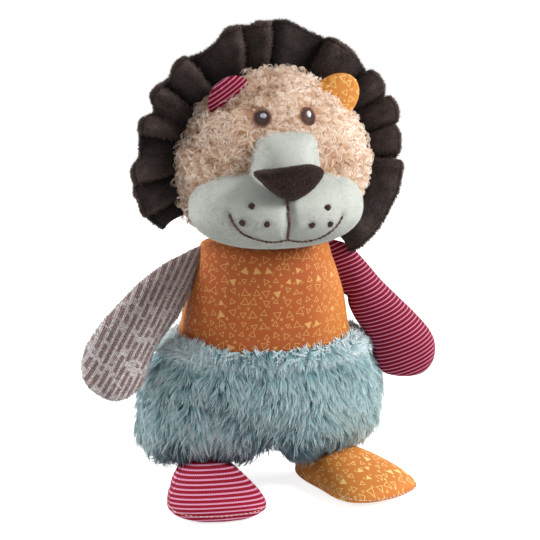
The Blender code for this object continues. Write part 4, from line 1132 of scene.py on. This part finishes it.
def embroider_eyes():
    """Each eye: a disc of upright threads, a rim of short slanted ones and a small highlight."""
    for name, x, (wide, tall), thread, (glint_across, glint_up), glint_half, glint_thread in EYES:
        place = box_middle("eye_" + name) - (0.0008 * (x > 0), 0, 0)
        out = unit(np.array((x * 14.0, -0.88, 0.40)))
        base = place - out * 0.0002
        side, up = across_and_up(out)
        satin("eye_satin_" + name, base, out, EYE_RADIUS * 0.84 * wide, EYE_RADIUS * 0.88 * tall,
              rows=EYE_THREADS, radius=0.00034, material=thread, nodes=("eye_" + name,), seed=51, rise=0.0009,
              shades=False)
        turned = np.linspace(0, math.tau, RIM_THREADS, endpoint=False)
        ray = side * (wide * np.cos(turned))[:, None] + up * (tall * np.sin(turned))[:, None]
        skew = -side * np.sin(turned)[:, None] + up * np.cos(turned)[:, None]
        inner_ends = base + ray * EYE_RADIUS * 0.74 + skew * 0.0003
        outer_ends = base + ray * EYE_RADIUS * 1.02 - skew * 0.0003
        path = stitch_paths(inner_ends, outer_ends, np.tile(out, (RIM_THREADS, 1)), 0.0005)
        add_threads("eye_rim_" + name, path + out * 0.0003, 0.00030, np.random.default_rng(52), RIM_THREAD,
                    "head", shades=False)
        glint = base + out * 0.0011 + up * glint_up - side * glint_across
        satin("eye_glint_satin_" + name, glint, out, *glint_half, rows=GLINT_THREADS, radius=0.00028,
              material=glint_thread, nodes=("eye_glint_" + name,), seed=53, rise=0.0004, slot="glint",
              shades=False)


embroider_eyes()
for number, (dot_x, dot_z) in enumerate(DOTS):
    spot = muzzle_skin(np.array(dot_x), np.array(dot_z))
    tilt = unit(np.array((dot_x * 0.6, -0.075, (dot_z - 0.178) * 0.9)))
    ending = f"{'right' if number < 3 else 'left'}_{number % 3 + 1}"
    satin("whisker_satin_" + ending, spot + tilt * 0.0006, tilt, half_width=0.0018, half_height=0.0020,
          rows=7, radius=0.00042, material=DARK_THREAD, nodes=("whisker_dot_" + ending,),
          seed=60 + number, rise=0.0010)

# Mane

# The rim's folds: degrees from the lion's left, which edge lies in front (1 where it is the one at the
# smaller angle), the rim's radius on the crest and in the valley, and how far the crest stands forward
MANE_FOLDS = (
    (-1.2, 1, 0.0795, 0.0750, 0.0062), (13.4, 1, 0.0777, 0.0752, 0.0080),
    (26.4, 1, 0.0806, 0.0770, 0.0084), (39.8, 1, 0.0799, 0.0765, 0.0084),
    (64.1, 1, 0.0797, 0.0777, 0.0074), (87.7, -1, 0.0812, 0.0808, 0.0070),
    (101.3, -1, 0.0823, 0.0808, 0.0076), (128.3, -1, 0.0827, 0.0772, 0.0088),
    (147.4, -1, 0.0833, 0.0790, 0.0088), (168.4, 1, 0.0828, 0.0786, 0.0088),
    (191.7, 1, 0.0842, 0.0796, 0.0088), (205.5, 1, 0.0830, 0.0800, 0.0074),
)
# The cloth between the folds: degrees, the rim's radius, and how far it stands forward
MANE_PANELS = (
    (-49.0, 0.0745, 0.0000), (-45.0, 0.0762, 0.0030), (-38.0, 0.0770, 0.0052), (-29.0, 0.0786, 0.0034),
    (-20.0, 0.0790, 0.0030), (-12.0, 0.0799, 0.0046), (6.0, 0.0781, 0.0012), (19.5, 0.0794, 0.0016),
    (32.5, 0.0783, 0.0016), (48.0, 0.0776, 0.0000), (55.0, 0.0795, 0.0040), (73.0, 0.0784, -0.0012),
    (80.0, 0.0824, 0.0010), (95.5, 0.0806, 0.0016), (110.0, 0.0776, 0.0034), (117.5, 0.0761, 0.0002),
    (138.0, 0.0785, 0.0012), (155.0, 0.0780, 0.0040), (160.5, 0.0766, 0.0030), (178.0, 0.0788, -0.0010),
    (184.5, 0.0792, 0.0024), (199.0, 0.0838, 0.0014), (211.5, 0.0786, -0.0010), (214.5, 0.0755, 0.0000),
)
# How far the folds are turned on from there, at the seam and at the rim: degrees, and degrees more
SEAM_TURNS = (
    (-49.0, -9.0), (-1.2, -6.4), (13.4, -7.6), (26.4, -1.8), (39.8, 0.4), (64.1, 3.0), (87.7, 7.0),
    (101.3, 9.0), (128.3, 3.7), (147.4, 1.9), (168.4, -1.2), (191.7, -2.4), (205.5, 1.0), (214.5, 6.0),
)
RIM_TURNS = (
    (-49.0, -0.8), (1.0, -4.4), (15.6, -3.4), (28.6, -2.9), (42.0, -2.2), (66.3, -2.9), (85.5, 6.8),
    (99.1, 6.2), (126.1, 4.7), (145.2, 1.6), (170.6, -5.9), (193.9, -8.1), (207.7, -7.2), (214.5, -3.4),
)
# One fold's steps: the degrees past the fold at the seam and at the rim, the share of the way from the
# valley's radius to the crest's, and the share of the crest's forward reach
FOLD_STEPS = (
    (-3.0, -3.2, 1.00, 0.85), (-1.6, 0.4, 1.00, 1.00), (-0.7, 2.2, 0.80, 0.62), (0.0, 0.9, 0.20, -0.20),
    (0.7, -0.4, 0.00, -0.80), (2.6, 3.4, 0.10, -0.62),
)


def mane_rows():
    """The strip from end to end: the seam's degrees, and the rim's degrees, radius and forward reach."""
    rows = [(degrees, degrees, radius, forward) for degrees, radius, forward in MANE_PANELS]
    for degrees, side, crest, valley, reach in MANE_FOLDS:
        for seam_turn, rim_turn, radius_share, reach_share in FOLD_STEPS:
            rows.append((degrees + side * seam_turn, degrees + side * rim_turn,
                         valley + (crest - valley) * radius_share, reach * reach_share))
    return np.array(sorted(rows))


def mane_grids():
    """The folded strip's front and back cloth, which meet round its outer edge, with its middle and the
    painted shade of folds and seam.
    """
    rows = mane_rows()
    columns = 10 * len(rows) + 1
    rows = resample(rows, columns)
    seam, rim, radius, forward = (rows[None, :, place] for place in range(4))
    seam = seam + np.interp(seam, *np.transpose(SEAM_TURNS))
    rim = rim + np.interp(rim, *np.transpose(RIM_TURNS))
    reach = np.linspace(0, 1, 26)[:, None]
    opened = 0.34 + 0.66 * smooth(reach / 0.85)
    angle = np.radians(seam + (rim - seam) * opened)
    jowl = 1 - JOWL_SHARE * np.sin(angle)
    inner_x = HEAD_CENTRE[0] + (HEAD_HALF[0] - MANE_SEAM_DEPTH) * np.cos(angle) * jowl
    inner_z = HEAD_CENTRE[2] + (HEAD_HALF[1] - MANE_SEAM_DEPTH) * np.sin(angle)
    outer_x = MANE_CENTRE[0] + (radius - 0.0007) * np.cos(angle)
    outer_z = MANE_CENTRE[2] + (radius - 0.0007) * np.sin(angle)
    y = HEAD_CENTRE[1] - 0.0005 - forward * opened - 0.0010 * np.sin(math.pi * reach)
    middle = stack(inner_x + (outer_x - inner_x) * reach, y, inner_z + (outer_z - inner_z) * reach)
    facing = unit(np.cross(np.gradient(middle, axis=1), np.gradient(middle, axis=0)))
    rounding = np.sqrt(np.clip(1 - (np.clip((reach - 0.93) / 0.07, 0, 1)) ** 2, 0, 1))
    ends = np.minimum(np.arange(columns), columns - 1 - np.arange(columns))[None, :]
    closing = np.sqrt(np.clip(1 - np.clip(1 - ends / 6, 0, 1) ** 2, 0, 1))
    plump = 0.0012 + 0.0007 * smooth(reach / 0.6) + 0.0002 * mottle(middle, 0.012, 14)
    half = (plump * rounding * closing)[..., None]
    # painted shade on the map: darker towards the seam and in the valleys between folds, lit where the cloth
    # stands forward
    seam_painted_shade = 0.35 + 0.65 * smooth(reach / 0.80)
    lit = smooth((forward + 0.0062) / 0.0135)
    shade = np.stack([lit * seam_painted_shade, reach + 0 * lit], axis=-1)
    return middle + facing * half, middle - facing * half, middle, shade


mane_front, mane_back, mane_centre, mane_painted_light = mane_grids()
mane = add_cover("mane_cover", [(mane_front, mane_painted_light), (mane_back, mane_painted_light)], MANE_CLOTH, "head", "brown",
                 ("mane_ruffle",))


def mane_fuzz():
    """Short pile over both sides of the strip, thicker along its rim."""
    rng = np.random.default_rng(71)
    count, on_rim = 30000, 12000
    pick = []
    for skin in (mane_front, mane_back):
        rows = rng.integers(2, skin.shape[0] - 1, count)
        rows[:on_rim] = rng.integers(skin.shape[0] - 3, skin.shape[0] - 1, on_rim)
        columns = rng.integers(0, skin.shape[1] - 1, count)
        share, down = rng.random((2, count))
        near = skin[rows, columns] * (1 - share)[:, None] + skin[rows, columns + 1] * share[:, None]
        roots = near + (skin[rows + 1, columns] - skin[rows, columns]) * down[:, None]
        out = unit(skin[rows, columns] - mane_centre[rows, columns])
        outward = unit((roots - MANE_CENTRE) * (1, 0, 1))
        outer = (rows >= skin.shape[0] - 3)[:, None] * outward * 1.2
        pick.append((roots, unit(out + outer), outward, mane_painted_light[rows, columns, 0]))
    roots, out, outward, fuzz_painted_light = (np.concatenate([part[place] for part in pick]) for place in range(4))
    steps = np.array((0.0, 0.55, 1.0))[None, :, None]
    loose = unit(rng.normal(size=roots.shape) + 0.8 * outward)
    length = rng.uniform(0.0009, 0.0017, len(roots))[:, None, None]
    centre = roots[:, None] + out[:, None] * length * steps + loose[:, None] * length * 0.6 * steps ** 1.5
    radius = rng.uniform(0.00012, 0.00018, len(roots))[:, None] * np.array((1.0, 0.8, 0.0))
    # the fibres' tint carries the strip's painted shade, darker in the folds and towards the seam
    add_strands("mane_fuzz", centre, radius, 0.72 * fuzz_painted_light - 0.08 + 0.26 * rng.normal(size=len(roots)),
                BROWN_PILE, "head", "brown", facing=out, softness=0.5)


mane_fuzz()

# Ears


def ear_ways(degrees):
    """Outward from the head, and along its edge, where the ear is."""
    angle = math.radians(degrees)
    return np.array((math.cos(angle), 0, math.sin(angle))), np.array((-math.sin(angle), 0, math.cos(angle)))


def ear_grids(degrees, tilt_degrees, half, height, puffed):
    """The front and back of an ear, a padded half disc that leans forward from the seam."""
    angle = math.radians(degrees)
    tilt = math.radians(tilt_degrees)
    across = math.cos(angle) * (1 - JOWL_SHARE * math.sin(angle))
    sunk_half = np.array(HEAD_HALF) - 0.008
    base = HEAD_CENTRE + np.array((sunk_half[0] * across, -0.0165, sunk_half[1] * math.sin(angle)))
    straight, side = ear_ways(degrees)
    forward = np.array((0, -1.0, 0))
    out = straight * math.cos(tilt) + forward * math.sin(tilt)
    forward = forward * math.cos(tilt) - straight * math.sin(tilt)
    turned = full_turn(97)[None, :]
    share = np.linspace(1, 0, 22)[:, None]
    flat = side * (half * share * np.cos(turned))[..., None]
    flat = flat + out * (height * share * np.sin(turned))[..., None]
    puff = puffed * (1 - share ** 2.4) ** 0.6
    pucker = 0.0004 * np.sin(turned * 15) * np.exp(-((share - 0.86) / 0.08) ** 2)
    front = base + flat + forward * (puff + pucker)[..., None]
    back = base + flat - forward * (puff + pucker)[..., None]
    return front, back


for name, degrees, tilt, half, height, puffed, material, slot in (
        ("right", 125.5, 34.0, 0.0140, 0.0148, 0.0042, STRIPE, "stripe"),
        ("left", 47.5, 10.0, 0.0132, 0.0180, 0.0032, PAINTED_SHEEN_PRINT, "orange")):
    front, back = ear_grids(degrees, tilt, half, height, puffed)
    out_way, side_way = ear_ways(degrees)
    places = np.stack([front @ side_way, front @ out_way], axis=-1)
    add_cover("ear_cover_" + name, [(front, places), (back, places)], material, "head", slot,
              (f"ear_{name}_front_panel", f"ear_{name}_back_panel"), 0.4)

# Arms


def arm_grids(side):
    """The arm's front and back panels, which meet in the seam round its edge."""
    reach, sweep = ARM_REACH[side], ARM_SWEEP[side]
    top, bottom = (np.array((x, ARM_ROOT_Y, z)) for x, z in ARM_ROOTS[side])
    middle = (top + bottom) / 2
    rows = np.array(ARM_SHARES)
    (top_x, top_z), (bottom_x, bottom_z) = ARM_ROOT_INSET[side]
    top, bottom = top + (top_x, 0, top_z), bottom + (bottom_x, 0, bottom_z)
    rows[0, :4] = ((top - middle)[0] * side / reach, (top - middle)[2] / reach,
                   (bottom - middle)[0] * side / reach, (bottom - middle)[2] / reach)
    rows[:, :4] += np.array(ARM_FULLER_SHARES[side])
    rows = resample(rows, 110)
    level = np.linspace(0, 1, 110)[:, None]
    forward = sweep * level ** 2
    outer, inner = (
        stack(middle[0] + side * reach * across, middle[1] + forward, middle[2] + reach * up)
        for across, up in ((rows[:, :1], rows[:, 1:2]), (rows[:, 2:3], rows[:, 3:4])))
    outer[-1] = inner[-1] = (outer[-1] + inner[-1]) / 2
    thickness = ARM_HALF_THICKNESS * np.maximum(rows[:, 4:5], 0)
    thickness[-1] = 0
    grids = []
    for angles in (FRONT, BACK):
        cosine, sine = np.cos(angles), np.sin(angles)
        centre = (outer + inner) / 2
        half = (outer - inner) / 2
        edge = 1 - np.abs(sine)
        pucker = 1 + 0.06 * np.sin(level * 95 + 2 * cosine) * edge ** 2 * smooth(level / 0.1)
        depth = thickness * power(sine, 1.12) * pucker
        grid = centre + half * (cosine * side)[None, :, None] + depth[..., None] * np.array((0, 1.0, 0))
        swell = 0.0005 * mottle(grid, 0.022, 80 + side) * np.abs(sine)
        swell = swell * smooth(level / 0.15) * smooth((1 - level) / 0.1)
        grids.append(grid + np.array((0, 1.0, 0)) * (swell * np.sign(sine))[..., None])
    return grids


def turned_uv(grid, degrees):
    """The place on a flat panel seen square on, turned so that its second number runs along the limb."""
    angle = math.radians(degrees)
    x, z = grid[..., 0], grid[..., 2]
    cosine, sine = math.cos(angle), math.sin(angle)
    return np.stack([x * cosine + z * sine, z * cosine - x * sine], axis=-1)


for name, side, material, slot, lean in (
        ("right", -1, KNIT, "knit", -30.0), ("left", 1, STRIPE, "stripe", 22.0)):
    front, back = arm_grids(side)
    panels = [(front, turned_uv(front, lean)), (back, turned_uv(back, lean) + BACK_KNIT_SHIFT)]
    nodes = [f"arm_{name}_{part}" for part in ("front_panel", "back_panel", "filling")]
    if material is KNIT:
        spine_line = (front[:, 48:49] + back[:, 48:49]) / 2
        fuzz("knit_fuzz", [(front, spine_line), (back, spine_line)], YARN_FUZZ, "arm_right", "knit",
             count=9000, seed=83, length=0.0017, width=0.00012, lean=(0, 0, -0.6), loose=0.9)
    add_cover("arm_cover_" + name, panels, material, "arm_" + name, slot, nodes, 0.7)

# Feet


def foot_grids(side):
    """The foot's upper and sole, which meet in the seam round its edge."""
    splay = math.radians(FOOT_SPLAY_DEG[side])
    ahead = np.array((side * math.sin(splay), -math.cos(splay), 0))
    beside = np.array((math.cos(splay), side * math.sin(splay), 0))
    ankle = np.array(FOOT_ANKLES[side])
    rows = resample(FOOT_SHARES, 110)
    level = np.linspace(0, 1, 110)[:, None]
    along = FOOT_LENGTH * (rows[:, :1] - FOOT_HEEL_SHARE)
    half_width = FOOT_HALF_WIDTH * np.maximum(rows[:, 1:2], 0)
    half_width[0] = half_width[-1] = 0
    grids = []
    for angles in (BACK, FRONT):
        cosine, sine = np.cos(angles), np.sin(angles)
        across = half_width * power(cosine, 0.85)
        if sine[len(sine) // 2] > 0:
            rise = np.maximum(FOOT_TOP_Z * rows[:, 2:3] - FOOT_SEAM_Z, 0) * power(np.abs(sine), 1.15)
            groove = FOOT_GROOVE * np.exp(-((sine - 0.22) / 0.09) ** 2)
            rise = rise - groove * smooth(level / 0.1)
        else:
            lifted = 1 - FOOT_TOE_LIFT[side] * smooth((level - 0.50) / 0.50)
            rise = -FOOT_SEAM_Z * np.minimum(1.3 * np.abs(sine), 1) * lifted
        rise = rise + 0 * across
        rise[0] = rise[-1] = 0
        across = across + FOOT_BEND[side] * smooth((rows[:, :1] - 0.45) / 0.55)
        grid = ankle + ahead * along[..., None] + beside * across[..., None]
        grids.append(grid + stack(0, 0, FOOT_SEAM_Z + rise))
    return grids, ankle, ahead, beside


def foot_stitches(name, side, upper, ankle):
    """A row of edge stitches round the front of the foot, in the groove above its seam."""
    edge = np.concatenate([upper[45:, 6], upper[:44:-1, -7]])
    run = run_lengths(edge)
    starts = np.arange(0, run[-1] - EDGE_STITCH, EDGE_STITCH_PITCH)
    places = [points_at(starts + far, run, edge) for far in (0, EDGE_STITCH)]
    out = unit(unit((places[0] - ankle) * (1, 1, 0)) + np.array((0, 0, 0.9)))
    centre = stitch_paths(*places, out, 0.0006) + out[:, None] * 0.0001
    add_threads(name, centre, 0.00026, np.random.default_rng(90 + side), PALE_THREAD,
                "foot_right" if side < 0 else "foot_left")


for name, side, material, slot in (
        ("right", -1, PAINTED_LIGHT_STRIPE, "stripe"), ("left", 1, PAINTED_SHEEN_PRINT, "orange")):
    (upper, sole), ankle, ahead, beside = foot_grids(side)
    panels = []
    for grid in (upper, sole):
        if side < 0:
            lengthways = 0.20 * ((grid - ankle) @ ahead) - 1.08 * grid[..., 2]
            panels.append((grid, np.stack([(grid - ankle) @ beside, lengthways], axis=-1)))
        else:
            panels.append((grid, cloth_uv(grid) * (1, 0.75)))
    nodes = [f"foot_{name}_{part}" for part in ("upper_panel", "sole_panel", "filling")]
    add_cover("foot_cover_" + name, panels, material, "foot_" + name, slot, nodes, 0.6)
    foot_stitches("foot_stitches_" + name, side, upper, ankle)

# Tail

TAIL_UNIT = 0.04
# back and down, in that unit, and the tube's thickness share
TAIL_ROWS = (
    (0.00, 0.00, 0.30), (0.05, -0.01, 0.80), (0.14, -0.05, 1.00), (0.30, -0.22, 1.00), (0.42, -0.55, 1.00),
    (0.46, -0.92, 1.00),
)
TAIL_RADIUS = 0.0050
# along the tuft, and its thickness share
TUFT_ROWS = ((0.0, 0.0), (0.02, 0.50), (0.12, 0.82), (0.40, 1.0), (0.70, 0.80), (0.90, 0.40), (1.0, 0.0))
TUFT_LENGTH = 0.026
TUFT_RADIUS = 0.0080
tail_rows = resample(TAIL_ROWS, 50)
line = TAIL_ROOT + TAIL_UNIT * np.stack([0 * tail_rows[:, 0], tail_rows[:, 0], tail_rows[:, 1]], axis=1)
tangent = unit(np.gradient(line, axis=0))
side_way = np.array((1.0, 0, 0))
up_way = np.cross(side_way, tangent)
turned = full_turn(49)
ring = side_way * np.cos(turned)[None, :, None] + up_way[:, None] * np.sin(turned)[None, :, None]
tube = line[:, None] + ring * (TAIL_RADIUS * tail_rows[:, 2])[:, None, None]
tube = np.concatenate([tube[:1] * 0 + line[0], tube, tube[:1] * 0 + line[-1]], axis=0)
add_cover("tail_cover", [tube], TEAL_BACK, "tail", "teal", ("tail_tube",), 0.8)
tuft_rows = resample(TUFT_ROWS, 40)
tuft_line = line[-1] + tangent[-1] * (0.0003 + TUFT_LENGTH * tuft_rows[:, :1])
tuft = tuft_line[:, None] + ring[-1:] * (TUFT_RADIUS * np.maximum(tuft_rows[:, 1], 0))[:, None, None]
add_cover("tuft_cover", [tuft], BROWN_BACK, "tail", "brown", ("tail_tuft",), 0.7)
fuzz("tail_fuzz", [(tube[1:-1], line[25])], TEAL_PILE, "tail", "teal",
     count=5000, seed=81, length=0.0022, width=0.00018)
fuzz("tuft_fuzz", [(tuft, tuft_line[20])], BROWN_PILE, "tail", "brown",
     count=3500, seed=82, length=0.0012, width=0.00013)

# Floor, light and camera


def point_along(thing, way):
    """Turns a lamp or a camera to look this way."""
    thing.rotation_mode = "QUATERNION"
    thing.rotation_quaternion = way.to_track_quat("-Z", "Y")


def seen_directly(tree):
    """One for the rays that look at a surface, and nought for those that only carry light."""
    path = add(tree, "LightPath").outputs
    camera, glossy, through = (Value(path[f"Is {kind} Ray"]) for kind in ("Camera", "Glossy", "Transmission"))
    return (camera + glossy + through).maths("MINIMUM", 1.0)


def add_stage():
    """A white floor and sky that look plain to the camera and light the lion softly."""
    corners = [(x * FLOOR_HALF, y * FLOOR_HALF, 0) for x, y in ((-1, -1), (1, -1), (1, 1), (-1, 1))]
    mesh = bpy.data.meshes.new("floor")
    mesh.from_pydata(corners, [], [(0, 1, 2, 3)])
    floor = put("floor", mesh)
    material, tree = new_material("studio_floor")
    shader = tree.nodes["Principled BSDF"]
    shown = seen_directly(tree) * FLOOR_GREY
    for name, value in (("Base Color", (FLOOR_GREY,) * 3 + (1,)), ("Roughness", 1.0),
                        ("Specular IOR Level", 0.0), ("Emission Color", (1, 1, 1, 1)),
                        ("Emission Strength", shown)):
        plug(tree, value, shader.inputs[name])
    mesh.materials.append(material)
    world = bpy.data.worlds.new("studio")
    bpy.context.scene.world = world
    world.use_nodes = True
    sky = world.node_tree
    background = sky.nodes["Background"]
    plug(sky, (1, 1, 1, 1), background.inputs["Color"])
    plug(sky, seen_directly(sky) * (1.0 - AMBIENT) + AMBIENT, background.inputs["Strength"])


def add_lamp(name, place, size, energy):
    data = bpy.data.lights.new(name, "AREA")
    data.shape = "SQUARE"
    data.size = size
    data.energy = energy
    lamp = put(name, data)
    lamp.location = place
    point_along(lamp, Vector(LAMP_TARGET) - Vector(place))


def add_camera():
    azimuth, elevation = math.radians(AZIMUTH_DEG), math.radians(ELEVATION_DEG)
    level = math.cos(elevation)
    back = Vector((math.sin(azimuth) * level, -math.cos(azimuth) * level, math.sin(elevation)))
    data = bpy.data.cameras.new("camera")
    data.lens = CAMERA_LENS
    data.sensor_width = 36
    data.clip_start = 0.05
    data.clip_end = 50
    camera = put("camera", data)
    camera.location = Vector(CAMERA_TARGET) + back * CAMERA_DISTANCE
    point_along(camera, -back)
    bpy.context.scene.camera = camera


add_stage()
for lamp in LAMPS:
    add_lamp(*lamp)
add_camera()
bpy.context.scene.view_settings.view_transform = "Standard"
